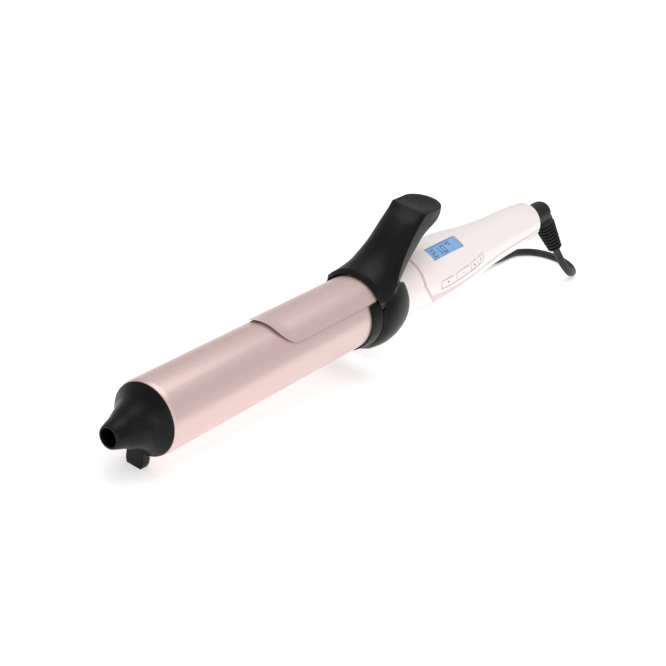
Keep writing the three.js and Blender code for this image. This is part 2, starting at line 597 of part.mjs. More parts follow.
function shellScrewShape(x, clearance) {
  const headBottom = SHELL_SCREW.recess - handleRadius(x);
  const headTop = headBottom + SHELL_SCREW.headHeight;
  const radius = SHELL_SCREW.head + clearance;
  const head = uprightRod(headBottom, headTop + clearance, radius);
  const shank = uprightRod(headBottom, POST_TOP - 1 + clearance, SHELL_SCREW.shank + clearance);
  const entryDepth = clearance > 0 ? SHELL_SCREW.recess * 4 : 0;
  const entry = uprightRod(headBottom - entryDepth, headTop, radius);
  return head.add(shank).add(entry).translate([x, 0, 0]);
}

// ---- display, boards and keys ----------------------------------------------------------------
function displayLens() {
  return lensPlate(0, LENS.thickness, 0);
}

function lcdModule() {
  return lensPlate(LCD.overlap, LCD.thickness, -LCD.depth);
}

function circuitBoard() {
  return block(BOARD.length, BOARD.width, BOARD.thickness, BOARD.start + BOARD.length / 2,
    BOARD.y, BOARD.z);
}

function keySkin(outerInset, thickness) {
  return handleBody(outerInset).subtract(handleBody(outerInset + thickness));
}

function keyStrip() {
  let body = keySkin(STRIP.sink, STRIP.thickness).intersect(sidePrism(STRIP.length, STRIP.width, 0));
  KEYS.forEach(([, along, length]) => {
    body = body.subtract(sidePrism(length, KEY.width, along, GAP));
  });
  return body;
}

// Each key has a stem that ends just short of its switch.
function key(along, length) {
  const inset = STRIP.sink - KEY.stand;
  const { x, z } = tilted(along);
  const stemStart = switchFace + KEY.travel + GAP;
  const stemLength = keyDepth(x) + KEY.thickness / 2 - stemStart;
  const stem = crossPin(x, z, KEY.stem, stemLength, -stemStart - stemLength / 2);
  return keySkin(inset, KEY.thickness).intersect(sidePrism(length, KEY.width, along)).add(stem);
}

const keyDepth = (x) => handleRadius(x) - STRIP.sink + KEY.stand - KEY.thickness;
const tilted = (along) => {
  const lean = THREE.MathUtils.degToRad(STRIP.lean);
  return { x: STRIP.x + along * Math.cos(lean), z: STRIP.z + along * Math.sin(lean) };
};
const boardFace = Math.min(...KEYS.map(([, along]) => keyDepth(tilted(along).x))) - SIDE_BOARD.drop
  - SWITCH.gap - SWITCH.height;
const switchFace = boardFace + GAP + SWITCH.height;

function tactSwitch(along) {
  const { x, z } = tilted(along);
  const y = -boardFace - SWITCH.height / 2 - GAP;
  return block(SWITCH.size, SWITCH.height, SWITCH.size, x, y, z);
}

function switchBoard() {
  const y = SIDE_BOARD.thickness / 2 - boardFace;
  return block(SIDE_BOARD.length, SIDE_BOARD.thickness, SIDE_BOARD.width, 0, 0, 0)
    .rotate([0, -STRIP.lean, 0]).translate([STRIP.x + SIDE_BOARD.shift, y, STRIP.z]);
}

// ---- swivel -----------------------------------------------------------------------------------
const guardLine = new THREE.Vector3(...GUARD.reach);
const guardLength = guardLine.length();

function swivelSocket() {
  const ringOuter = SWIVEL.collar + GAP;
  const start = SWIVEL.socketStart - SWIVEL.socket;
  const clear = handleBody(HANDLE.coverWall + GAP * 2 + HANDLE.lining);
  return rod(start, SWIVEL.socketStart - GAP * 2, ringOuter, SIDES).intersect(clear)
    .subtract(rod(0, HANDLE.end, CONTACT.radius + CONTACT.room));
}

function cordGuard() {
  const elbow = SWIVEL.elbow;
  const shaft = rod(SWIVEL.socketStart, SWIVEL.socketStart + SWIVEL.plate, SWIVEL.collar)
    .add(rod(SWIVEL.socketStart + 1, SWIVEL.elbowX, SWIVEL.neck))
    .add(rod(HANDLE.end + GAP * 2, SWIVEL.elbowX, elbow, SIDES));
  const ball = solid(new THREE.SphereGeometry(elbow, 16, 10).translate(SWIVEL.elbowX, 0, 0));
  const profile = [[0, 0], [0, GUARD.baseRadius]];
  const pitch = ((1 - GUARD.start) * guardLength) / GUARD.rings;
  for (let i = 0; i < GUARD.rings; i += 1) {
    const from = GUARD.start * guardLength + i * pitch;
    const to = from + pitch * GUARD.share;
    const radius = THREE.MathUtils.lerp(GUARD.baseRadius, GUARD.tipRadius, (i + 0.5) / GUARD.rings);
    const groove = radius - GUARD.groove;
    profile.push([from, radius], [to, radius], [to, groove], [from + pitch, groove]);
  }
  profile.push([guardLength, 0]);
  const forward = new THREE.Vector3(1, 0, 0);
  const turn = new THREE.Quaternion().setFromUnitVectors(forward, guardLine.clone().normalize());
  const sleeve = turned(profile, SMALL_SIDES).applyQuaternion(turn).translate(SWIVEL.elbowX, 0, 0);
  const pocket = rod(SWIVEL.socketStart - 1, SWIVEL.socketStart + CONTACT.length,
    sleeveOuter + GAP, SMALL_SIDES);
  return shaft.add(ball).add(solid(sleeve)).subtract(pocket);
}

const sleeveOuter = CONTACT.radius + GAP + CONTACT.sleeve;
const contactEnd = SWIVEL.socketStart + CONTACT.length - GAP * 2;

function contactPin() {
  return rod(CONTACT.start, contactEnd, CONTACT.radius, SMALL_SIDES);
}

function contactSleeve() {
  return tube(SWIVEL.socketStart, contactEnd, sleeveOuter, CONTACT.radius + GAP, SMALL_SIDES);
}

function contactBlock() {
  const outer = CONTACT.radius + GAP + CONTACT.block;
  return tube(CONTACT.start, SWIVEL.socketStart - GAP, outer, CONTACT.radius + GAP, SMALL_SIDES);
}

// ---- leads, mains cord and plug ----------------------------------------------------------------
function lead(points) {
  return strand(points, LEAD.radius, LEAD.sides, points.length * 2);
}

const mirrored = (points) => points.map(([x, y, z]) => [x, -y, z]);

function mainsCord(matrix) {
  const along = guardLine.clone().normalize();
  const tip = guardLine.clone().add(new THREE.Vector3(SWIVEL.elbowX, 0, 0));
  const leaving = [GAP, CORD.straight].map((run) => tip.clone().addScaledVector(along, run)
    .applyMatrix4(matrix).toArray());
  return strand([...leaving, ...CORD_ROUTE], CORD.radius, CORD.sides, CORD.steps);
}

// Half the hank's width at a distance from its middle: its runs draw together under the tie.
function hankHalfWidth(distance) {
  const share = Math.min(Math.abs(distance) / HANK.halfRun, 1);
  const drawn = (1 + Math.cos(Math.PI * share)) / 2;
  return THREE.MathUtils.lerp(HANK.endRadius, HANK.waist, drawn);
}

function cordHank() {
  const steps = 12;
  const side = [];
  for (let i = 0; i <= steps; i += 1) {
    const x = THREE.MathUtils.lerp(-HANK.halfRun, HANK.halfRun, i / steps);
    side.push([x, hankHalfWidth(x)]);
  }
  for (let i = 1; i < steps; i += 1) {
    const angle = Math.PI / 2 - (Math.PI * i) / steps;
    side.push([HANK.halfRun + HANK.endRadius * Math.cos(angle), HANK.endRadius * Math.sin(angle)]);
  }
  const outline = [...side, ...side.map(([x, y]) => [-x, -y])];
  const body = plate(outline.reverse(), HANK.bottom, HANK.bottom + HANK.height);
  return body.translate([HANK.x, HANK.y, 0]);
}

function cableTie() {
  const halfWidth = HANK.waist + TIE.clearance;
  const height = HANK.height + GAP * 2;
  const middle = HANK.bottom + HANK.height / 2;
  const outer = block(TIE.width, (halfWidth + TIE.thickness) * 2, height + TIE.thickness * 2,
    HANK.x, HANK.y, middle);
  return outer.subtract(block(TIE.width * 2, halfWidth * 2, height, HANK.x, HANK.y, middle));
}

const plugY = TAIL_ROUTE[TAIL_ROUTE.length - 1][1];

function plugBody() {
  const wide = PLUG.frontWidth / 2;
  const narrow = PLUG.rearWidth / 2;
  const near = [[PLUG.rear, narrow], [PLUG.shoulder, wide], [PLUG.front + PLUG.bevel, wide],
    [PLUG.front, wide - PLUG.bevel]];
  const far = near.map(([x, y]) => [x, -y]).reverse();
  return plate([...near, ...far], 0, PLUG.height).translate([0, plugY, 0]);
}

function plugPin(side) {
  const start = PLUG.front - GAP - PLUG_PIN.length;
  const y = plugY + (side * PLUG_PIN.spacing) / 2;
  return alongX(start, PLUG_PIN.length, PLUG_PIN.radius, y, PLUG.height / 2);
}

// ---- materials ----------------------------------------------------------------------------------
const FINISH = {
  rose: { color: 0xd9bdb9, roughness: 0.35, metalness: 0.8 },
  black: { color: 0x1c1b1e, roughness: 0.45, metalness: 0 },
  pink: { color: 0xf6dfdf, roughness: 0.25, metalness: 0 },
  white: { color: 0xfaf2f1, roughness: 0.3, metalness: 0 },
  metal: { color: 0xb8babd, roughness: 0.35, metalness: 0.9 },
  brass: { color: 0xc9a860, roughness: 0.35, metalness: 0.9 },
  ceramic: { color: 0xe8e2d6, roughness: 0.6, metalness: 0 },
  glass: { color: 0x7fa3d6, roughness: 0.08, metalness: 0 },
  board: { color: 0x2f6b45, roughness: 0.5, metalness: 0 },
};

function piece(name, shape, finish) {
  const geometry = shape.isBufferGeometry ? shape : surface(shape);
  const mesh = new THREE.Mesh(geometry, new THREE.MeshStandardMaterial(FINISH[finish]));
  mesh.name = name;
  return mesh;
}

// ---- assembly -----------------------------------------------------------------------------------
const iron = new THREE.Group();
iron.add(piece('barrel', barrel(), 'rose'));
iron.add(piece('tip_cap', tipCap(), 'black'));
iron.add(piece('heater_plate_upper', heaterHalf(1), 'metal'));
iron.add(piece('heater_plate_lower', heaterHalf(-1), 'metal'));
iron.add(piece('ceramic_heater', ceramicHeater(), 'ceramic'));
iron.add(piece('temperature_sensor', alongX(SENSOR.x, SENSOR.length, SENSOR.radius, SENSOR.y, 0), 'glass'));
iron.add(piece('thermal_fuse', alongX(FUSE.x, FUSE.length, FUSE.radius, FUSE.y, 0), 'metal'));
iron.add(piece('heater_lead', lead(HEATER_LEAD), 'white'));
iron.add(piece('fuse_link', lead(FUSE_LINK), 'white'));
iron.add(piece('fuse_lead', lead(FUSE_LEAD), 'white'));
iron.add(piece('sensor_lead', lead(SENSOR_LEAD), 'white'));
iron.add(piece('collar_ring', collarRing(), 'black'));
iron.add(piece('collar', collar(), 'black'));
iron.add(piece('heat_bush', heatBush(), 'ceramic'));
iron.add(piece('hinge_bracket', hingeBracket(), 'metal'));
iron.add(piece('hinge_pin', hingePin(), 'metal'));
iron.add(piece('lever_spring', leverSpring(), 'metal'));
iron.add(piece('clip', clip(), 'rose'));
iron.add(piece('clip_rivet_left', rivetShank(1, 0), 'metal'));
iron.add(piece('clip_rivet_right', rivetShank(-1, 0), 'metal'));
iron.add(piece('lever', lever(), 'black'));
iron.add(piece('lower_shell', lowerShell(), 'white'));
iron.add(piece('upper_shell', upperShell(), 'white'));
iron.add(piece('top_cover', topCover(), 'pink'));
iron.add(piece('display_lens', displayLens(), 'glass'));
iron.add(piece('lcd_module', lcdModule(), 'glass'));
iron.add(piece('circuit_board', circuitBoard(), 'board'));
iron.add(piece('key_strip', keyStrip(), 'white'));
KEYS.forEach(([name, along, length]) => {
  iron.add(piece(name, key(along, length), 'white'));
  iron.add(piece(name.replace('key', 'switch'), tactSwitch(along), 'black'));
});
iron.add(piece('switch_board', switchBoard(), 'board'));
SHELL_SCREW.xs.forEach((x, i) => {
  iron.add(piece(`shell_screw_${i + 1}`, shellScrewShape(x, 0), 'metal'));
});
iron.add(piece('swivel_socket', swivelSocket(), 'black'));
iron.add(piece('contact_block', contactBlock(), 'ceramic'));
iron.add(piece('contact_pin', contactPin(), 'brass'));
iron.add(piece('supply_lead_left', lead(SUPPLY_LEAD), 'black'));
iron.add(piece('supply_lead_right', lead(mirrored(SUPPLY_LEAD)), 'black'));
iron.add(piece('cord_guard', cordGuard(), 'black'));
iron.add(piece('contact_sleeve', contactSleeve(), 'brass'));

iron.rotation.y = -REST_TILT;
iron.position.z = REST_LIFT;
iron.updateMatrixWorld(true);
const extent = new THREE.Box3().setFromObject(iron, true);
iron.position.x = -(extent.min.x + extent.max.x) / 2;
iron.position.y = -(extent.min.y + extent.max.y) / 2;

iron.updateMatrixWorld(true);

const curlingIron = new THREE.Group();
curlingIron.add(iron);
curlingIron.add(piece('cord', mainsCord(iron.matrixWorld), 'black'));
curlingIron.add(piece('cord_hank', cordHank(), 'black'));
curlingIron.add(piece('cable_tie', cableTie(), 'white'));
curlingIron.add(piece('cord_tail', strand(TAIL_ROUTE, CORD.radius, CORD.sides, CORD.sides), 'black'));
curlingIron.add(piece('plug_body', plugBody(), 'black'));
curlingIron.add(piece('plug_pin_left', plugPin(1), 'brass'));
curlingIron.add(piece('plug_pin_right', plugPin(-1), 'brass'));

export default curlingIron;
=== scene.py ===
"""Curling iron with a spring-closed clip, a thumb lever, a display, four keys and a mains lead.

The shapes are worked out in millimetres in the iron's own frame, where +X runs from the tip to the
cord, the keys face -Y and the lever is on top. A finished mesh is carried into the world in metres.
"""
import json
import math
import bmesh
import bpy
from mathutils import Matrix, Vector


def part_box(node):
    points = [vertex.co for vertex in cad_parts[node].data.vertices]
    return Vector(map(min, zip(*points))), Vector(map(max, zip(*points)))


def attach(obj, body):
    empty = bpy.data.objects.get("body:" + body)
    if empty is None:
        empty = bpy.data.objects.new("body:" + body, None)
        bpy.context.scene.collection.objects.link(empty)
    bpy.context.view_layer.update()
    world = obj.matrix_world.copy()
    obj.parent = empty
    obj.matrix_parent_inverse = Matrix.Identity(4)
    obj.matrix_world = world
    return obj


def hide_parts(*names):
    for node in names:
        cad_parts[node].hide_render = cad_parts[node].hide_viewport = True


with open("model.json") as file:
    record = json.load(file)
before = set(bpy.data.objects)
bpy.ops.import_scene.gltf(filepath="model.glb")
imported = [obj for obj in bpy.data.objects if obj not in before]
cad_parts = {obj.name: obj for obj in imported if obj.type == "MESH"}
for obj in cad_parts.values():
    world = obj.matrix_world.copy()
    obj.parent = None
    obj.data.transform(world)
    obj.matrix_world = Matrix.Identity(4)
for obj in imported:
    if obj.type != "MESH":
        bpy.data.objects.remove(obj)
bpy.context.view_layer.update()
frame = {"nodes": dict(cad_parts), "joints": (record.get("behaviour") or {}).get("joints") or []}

bl_info = {
    "name": "Curling iron",
    "version": (1, 0, 0),
    "blender": (4, 5, 0),
    "location": "3D View > Sidebar > Curling iron",
    "description": "Builds a curling iron with its clip, lever, handle, keys and mains lead",
    "category": "Add Mesh",
}

MM = 0.001
PIVOT = (176.0, 21.9)
GAP = 0.3
REACH = 400.0
SIDES = 128
AXIAL = 90

JOINTS = {joint["name"]: joint for joint in frame["joints"]}
NODES = frame["nodes"]


def iron_placement():
    """The matrix from the iron's own millimetres to the world's metres."""
    axis = JOINTS["cord_swivel"]["axis"]
    turn = Matrix.Rotation(-math.atan2(axis[2], axis[0]), 4, "Y")
    pivot = turn @ Vector((PIVOT[0] * MM, 0, PIVOT[1] * MM))
    hinge = Vector(JOINTS["lever_hinge"]["pos_m"])
    return Matrix.Translation(hinge - pivot) @ turn @ Matrix.Scale(MM, 4)


IRON = iron_placement()
IRON_TURN = IRON.to_euler()
IRON_ORIGIN = IRON.to_translation()
WORLD_MM = Matrix.Scale(MM, 4)


# ---- shapes ---------------------------------------------------------------------------------------
def lerp(a, b, t):
    return a + (b - a) * t


def clamp(value, low, high):
    return max(low, min(high, value))


def spline(points, count, power=0.5):
    """A smooth line through points, given back as evenly parted stations along it."""
    knots = [Vector(p) for p in points]
    knots = [knots[0] * 2 - knots[1], *knots, knots[-1] * 2 - knots[-2]]
    spans = len(knots) - 3
    line = []
    for step in range(count + 1):
        at = spans * step / count
        index = min(int(at), spans - 1)
        p0, p1, p2, p3 = knots[index:index + 4]
        t0 = 0.0
        t1 = t0 + (p1 - p0).length ** power
        t2 = t1 + (p2 - p1).length ** power
        t3 = t2 + (p3 - p2).length ** power
        t = lerp(t1, t2, at - index)
        a1 = p0 * ((t1 - t) / (t1 - t0)) + p1 * ((t - t0) / (t1 - t0))
        a2 = p1 * ((t2 - t) / (t2 - t1)) + p2 * ((t - t1) / (t2 - t1))
        a3 = p2 * ((t3 - t) / (t3 - t2)) + p3 * ((t - t2) / (t3 - t2))
        b1 = a1 * ((t2 - t) / (t2 - t0)) + a2 * ((t - t0) / (t2 - t0))
        b2 = a2 * ((t3 - t) / (t3 - t1)) + a3 * ((t - t1) / (t3 - t1))
        line.append(b1 * ((t2 - t) / (t2 - t1)) + b2 * ((t - t1) / (t2 - t1)))
    return line


def rounded(outline, radius, steps=4, closed=True):
    """An outline of 2D points with each corner rounded."""
    points = [Vector(p) for p in outline]
    made = []
    for index, corner in enumerate(points):
        if not closed and index in (0, len(points) - 1):
            made.append(corner)
            continue
        before = points[index - 1] - corner
        after = points[(index + 1) % len(points)] - corner
        cut = min(radius, before.length * 0.45, after.length * 0.45)
        start = corner + before.normalized() * cut
        end = corner + after.normalized() * cut
        for step in range(steps + 1):
            t = step / steps
            made.append(start.lerp(corner, t).lerp(corner.lerp(end, t), t))
    return made


def linked(name, mesh):
    obj = bpy.data.objects.new(name, mesh)
    bpy.context.scene.collection.objects.link(obj)
    return obj


def from_faces(name, points, faces):
    mesh = bpy.data.meshes.new(name)
    mesh.from_pydata([tuple(p) for p in points], [], faces)
    work = bmesh.new()
    work.from_mesh(mesh)
    bmesh.ops.remove_doubles(work, verts=work.verts, dist=1e-5)
    bmesh.ops.recalc_face_normals(work, faces=work.faces)
    work.to_mesh(mesh)
    work.free()
    return linked(name, mesh)


def turned(name, profile, sides=SIDES):
    """A profile of (x, radius) turned about X. Ends on the axis are closed with a pole."""
    points, rings, faces = [], [], []
    for x, radius in profile:
        if radius < 1e-6:
            rings.append([len(points)])
            points.append((x, 0, 0))
            continue
        rings.append([len(points) + i for i in range(sides)])
        for i in range(sides):
            angle = 2 * math.pi * i / sides
            points.append((x, radius * math.sin(angle), radius * math.cos(angle)))
    open_ended = profile[0][1] > 1e-6
    pairs = list(zip(rings, rings[1:])) + ([(rings[-1], rings[0])] if open_ended else [])
    for a, b in pairs:
        for i in range(sides):
            j = (i + 1) % sides
            corners = [a[i % len(a)], a[j % len(a)], b[j % len(b)], b[i % len(b)]]
            face = list(dict.fromkeys(corners))
            if len(face) > 2:
                faces.append(face)
    return from_faces(name, points, faces)


def rod(start, end, radius, sides=SIDES):
    return turned("rod", [(start, 0), (start, radius), (end, radius), (end, 0)], sides)


def prism(outline, low, high, plane="xz"):
    """A closed outline in one plane with a depth along the axis across it."""
    count = len(outline)
    place = {
        "xz": lambda p, d: (p[0], d, p[1]),
        "xy": lambda p, d: (p[0], p[1], d),
        "yz": lambda p, d: (d, p[0], p[1]),
    }[plane]
    points = [place(p, low) for p in outline] + [place(p, high) for p in outline]
    faces = [list(range(count)), list(range(count, count * 2))]
    faces += [[i, (i + 1) % count, (i + 1) % count + count, i + count] for i in range(count)]
    return from_faces("prism", points, faces)


def box(low, high):
    outline = [(low[0], low[1]), (high[0], low[1]), (high[0], high[1]), (low[0], high[1])]
    return prism(outline, low[2], high[2], "xy")


def tube(name, path, radius, sides=20):
    """A closed tube along a path, carried without twist, with flat ends."""
    line = [Vector(p) for p in path]
    tangents = []
    for index, point in enumerate(line):
        before = line[max(index - 1, 0)]
        after = line[min(index + 1, len(line) - 1)]
        tangents.append((after - before).normalized())
    side = tangents[0].orthogonal().normalized()
    rings = []
    for point, tangent in zip(line, tangents):
        side = (side - tangent * side.dot(tangent)).normalized()
        rings.append((point, side.copy(), tangent.cross(side)))
    points, faces = [], []
    for point, across, up in rings:
        for i in range(sides):
            angle = 2 * math.pi * i / sides
            points.append(point + across * math.cos(angle) * radius + up * math.sin(angle) * radius)
    for ring in range(len(rings) - 1):
        for i in range(sides):
            j = (i + 1) % sides
            faces.append([ring * sides + i, ring * sides + j, (ring + 1) * sides + j, (ring + 1) * sides + i])
    last = (len(rings) - 1) * sides
    faces.append(list(range(sides)))
    faces.append([last + i for i in range(sides)])
    return from_faces(name, points, faces)


def evaluated(obj):
    """The object's mesh with its modifiers worked out, as a plain mesh."""
    view = bpy.context.evaluated_depsgraph_get()
    mesh = bpy.data.meshes.new_from_object(obj.evaluated_get(view))
    obj.modifiers.clear()
    obj.data = mesh
    return obj


def drop(*objects):
    for obj in objects:
        bpy.data.objects.remove(obj)


def carve(obj, operation, *others):
    """Cuts, joins or keeps what the others cover, and uses them up."""
    for other in others:
        change = obj.modifiers.new("carve", "BOOLEAN")
        change.operation = operation
        change.solver = "EXACT"
        change.object = other
        evaluated(obj)
        drop(other)
    return obj


def cut(obj, *others):
    return carve(obj, "DIFFERENCE", *others)


def join(obj, *others):
    return carve(obj, "UNION", *others)


def keep(obj, *others):
    return carve(obj, "INTERSECT", *others)


def moved(obj, matrix):
    obj.data.transform(matrix)
    return obj


def softened(obj, width, segments=3, angle=35):
    """Rounded edges."""
    work = bmesh.new()
    work.from_mesh(obj.data)
    bmesh.ops.remove_doubles(work, verts=work.verts, dist=1e-4)
    limit = math.radians(angle)
    edges = [e for e in work.edges if len(e.link_faces) == 2 and e.calc_face_angle(0) > limit]
    bmesh.ops.bevel(work, geom=edges, offset=width, segments=segments, profile=0.6, affect="EDGES",
                    clamp_overlap=True)
    work.to_mesh(obj.data)
    work.free()
    return obj


def together(name, objects):
    """Several meshes as the separate shells of one."""
    work = bmesh.new()
    for obj in objects:
        work.from_mesh(obj.data)
    mesh = bpy.data.meshes.new(name)
    work.to_mesh(mesh)
    work.free()
    drop(*objects)
    return linked(name, mesh)


def shaded(mesh, angle):
    work = bmesh.new()
    work.from_mesh(mesh)
    bmesh.ops.dissolve_degenerate(work, edges=work.edges, dist=1e-7)
    limit = math.radians(angle)
    for face in work.faces:
        face.smooth = True
    for edge in work.edges:
        edge.smooth = len(edge.link_faces) == 2 and edge.calc_face_angle(0) < limit
    work.to_mesh(mesh)
    work.free()


def finished(obj, name, finish, body, replaced=(), where=None, angle=32):
    """Places a mesh in the world, shades it, gives it its finish and its body."""
    obj.name = name
    obj.data.name = name
    shaded(obj.data, angle)
    obj.data.transform(IRON if where is None else where)
    obj.data.materials.clear()
    obj.data.materials.append(FINISHES[finish]())
    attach(obj, body)
    if replaced:
        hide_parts(*replaced)
    return obj


# ---- geometry node trees --------------------------------------------------------------------------
class Tree:
    """A node tree with named inputs, built up node by node."""

    def __init__(self, name):
        self.group = bpy.data.node_groups.new(name, "GeometryNodeTree")
        self.group.interface.new_socket("Geometry", in_out="INPUT", socket_type="NodeSocketGeometry")
        self.group.interface.new_socket("Geometry", in_out="OUTPUT", socket_type="NodeSocketGeometry")
        self.start = self.group.nodes.new("NodeGroupInput")
        self.end = self.group.nodes.new("NodeGroupOutput")
        self.values = {}

    def size(self, name, value, kind="NodeSocketFloat"):
        socket = self.group.interface.new_socket(name, in_out="INPUT", socket_type=kind)
        self.values[socket.identifier] = value
        return self.start.outputs[name]

    def node(self, kind, inputs=None, **settings):
        made = self.group.nodes.new(kind)
        for key, value in settings.items():
            setattr(made, key, value)
        for key, value in (inputs or {}).items():
            socket = made.inputs[key]
            if isinstance(value, bpy.types.NodeSocket):
                self.group.links.new(value, socket)
            else:
                socket.default_value = value
        return made

    def math(self, operation, a, b):
        return self.node("ShaderNodeMath", {0: a, 1: b}, operation=operation).outputs[0]

    def closing(self, geometry, material):
        real = self.node("GeometryNodeRealizeInstances", {"Geometry": geometry})
        paint = self.node("GeometryNodeSetMaterial", {"Geometry": real.outputs[0], "Material": material})
        self.group.links.new(paint.outputs[0], self.end.inputs[0])

    def applied(self, obj):
        change = obj.modifiers.new("shape", "NODES")
        change.node_group = self.group
        for identifier, value in self.values.items():
            change[identifier] = value
        return evaluated(obj)


def section_object(name, outline):
    """A closed line in a plane, for a tree to sweep."""
    mesh = bpy.data.meshes.new(name)
    count = len(outline)
    mesh.from_pydata([(p[0], p[1], 0) for p in outline], [(i, (i + 1) % count) for i in range(count)], [])
    return linked(name, mesh)


def turning_tree(material, sides):
    """Sweeps a closed section round the X axis."""
    tree = Tree("turning")
    count = tree.size("Sides", sides, "NodeSocketInt")
    section = tree.node("GeometryNodeMeshToCurve", {0: tree.start.outputs[0]})
    circle = tree.node("GeometryNodeCurvePrimitiveCircle", {"Resolution": count, "Radius": 1.0})
    swept = tree.node("GeometryNodeCurveToMesh",
                      {"Curve": circle.outputs[0], "Profile Curve": section.outputs[0]})
    laid = tree.node("GeometryNodeTransform",
                     {"Geometry": swept.outputs[0], "Rotation": (0, math.pi / 2, 0)})
    tree.closing(laid.outputs[0], material)
    return tree


def ribs_tree(material, sizes):
    """Rounded rings along a line, each smaller than the last."""
    tree = Tree("guard ribs")
    count = tree.size("Count", sizes["count"], "NodeSocketInt")
    first = tree.size("First", sizes["first"])
    pitch = tree.size("Pitch", sizes["pitch"])
    width = tree.size("Width", sizes["width"])
    depth = tree.size("Depth", sizes["depth"])
    large = tree.size("First radius", sizes["large"])
    small = tree.size("Last radius", sizes["small"])
    start = tree.node("ShaderNodeCombineXYZ", {"X": first}).outputs[0]
    step = tree.node("ShaderNodeCombineXYZ", {"X": pitch}).outputs[0]
    line = tree.node("GeometryNodeMeshLine",
                     {"Count": count, "Start Location": start, "Offset": step}, mode="OFFSET")
    round_rib = tree.node("GeometryNodeCurvePrimitiveQuadrilateral", {"Width": depth, "Height": width})
    corner = tree.math("MULTIPLY", width, 0.34)
    filleted = tree.node("GeometryNodeFilletCurve",
                         {"Curve": round_rib.outputs[0], "Count": 4, "Radius": corner}, mode="POLY")
    inset = tree.math("SUBTRACT", -1.0, tree.math("DIVIDE", depth, 2.0))
    shift = tree.node("ShaderNodeCombineXYZ", {"X": tree.math("ADD", inset, large)}).outputs[0]
    section = tree.node("GeometryNodeTransform", {"Geometry": filleted.outputs[0], "Translation": shift})
    circle = tree.node("GeometryNodeCurvePrimitiveCircle", {"Resolution": 64, "Radius": 1.0})
    ring = tree.node("GeometryNodeCurveToMesh",
                     {"Curve": circle.outputs[0], "Profile Curve": section.outputs[0]})
    upright = tree.node("GeometryNodeTransform",
                        {"Geometry": ring.outputs[0], "Rotation": (0, math.pi / 2, 0)})
    index = tree.node("GeometryNodeInputIndex").outputs[0]
    share = tree.math("DIVIDE", index, tree.math("SUBTRACT", count, 1.0))
    ratio = tree.math("DIVIDE", small, large)
    shrink = tree.math("ADD", 1.0, tree.math("MULTIPLY", share, tree.math("SUBTRACT", ratio, 1.0)))
    scale = tree.node("ShaderNodeCombineXYZ", {"X": 1.0, "Y": shrink, "Z": shrink}).outputs[0]
    placed = tree.node("GeometryNodeInstanceOnPoints",
                       {"Points": line.outputs[0], "Instance": upright.outputs[0], "Scale": scale})
    tree.closing(placed.outputs[0], material)
    return tree


def coil_tree(material, sizes):
    """A torsion spring's coil about the Y axis, with its two arms."""
    tree = Tree("lever spring")
    turns = tree.size("Turns", sizes["turns"])
    radius = tree.size("Coil radius", sizes["coil"])
    height = tree.size("Width", sizes["width"])
    wire = tree.size("Wire radius", sizes["wire"])
    arm = tree.size("Arm", sizes["arm"])
    spiral = tree.node("GeometryNodeCurveSpiral",
                       {"Resolution": 28, "Rotations": turns, "Start Radius": radius,
                        "End Radius": radius, "Height": height})
    lower_end = tree.node("ShaderNodeCombineXYZ", {"X": radius}).outputs[0]
    lower_tip = tree.node("ShaderNodeCombineXYZ", {"X": radius, "Y": tree.math("MULTIPLY", arm, -1.0)})
    upper_end = tree.node("ShaderNodeCombineXYZ", {"X": radius, "Z": height}).outputs[0]
    upper_tip = tree.node("ShaderNodeCombineXYZ", {"X": radius, "Y": arm, "Z": height})
    first = tree.node("GeometryNodeCurvePrimitiveLine",
                      {"Start": lower_tip.outputs[0], "End": lower_end})
    second = tree.node("GeometryNodeCurvePrimitiveLine",
                       {"Start": upper_end, "End": upper_tip.outputs[0]})
    lines = tree.node("GeometryNodeJoinGeometry")
    for made in (spiral, first, second):
        tree.group.links.new(made.outputs[0], lines.inputs[0])
    ring = tree.node("GeometryNodeCurvePrimitiveCircle", {"Resolution": 12, "Radius": wire})
    swept = tree.node("GeometryNodeCurveToMesh",
                      {"Curve": lines.outputs[0], "Profile Curve": ring.outputs[0], "Fill Caps": True})
    tree.closing(swept.outputs[0], material)
    return tree


def copies_tree(material, first, step, count=2):
    """The same part at places that are one step apart."""
    tree = Tree("copies")
    copies = tree.size("Count", count, "NodeSocketInt")
    start = tree.size("First", first, "NodeSocketVector")
    offset = tree.size("Step", step, "NodeSocketVector")
    line = tree.node("GeometryNodeMeshLine",
                     {"Count": copies, "Start Location": start, "Offset": offset}, mode="OFFSET")
    placed = tree.node("GeometryNodeInstanceOnPoints",
                       {"Points": line.outputs[0], "Instance": tree.start.outputs[0]})
    tree.closing(placed.outputs[0], material)
    return tree


# ---- finishes -------------------------------------------------------------------------------------
FINISHES = {}
MADE = {}


def finish(name):
    """Keeps one material for each finish, made when it is first asked for."""
    def keeper(build):
        def ask():
            if name not in MADE:
                MADE[name] = build(Paint(name)).material
            return MADE[name]
        FINISHES[name] = ask
        return ask
    return keeper


def linear(colour):
    """A display colour as the shader wants it."""
    return [c / 12.92 if c <= 0.04045 else ((c + 0.055) / 1.055) ** 2.4 for c in colour[:3]] + [1.0]


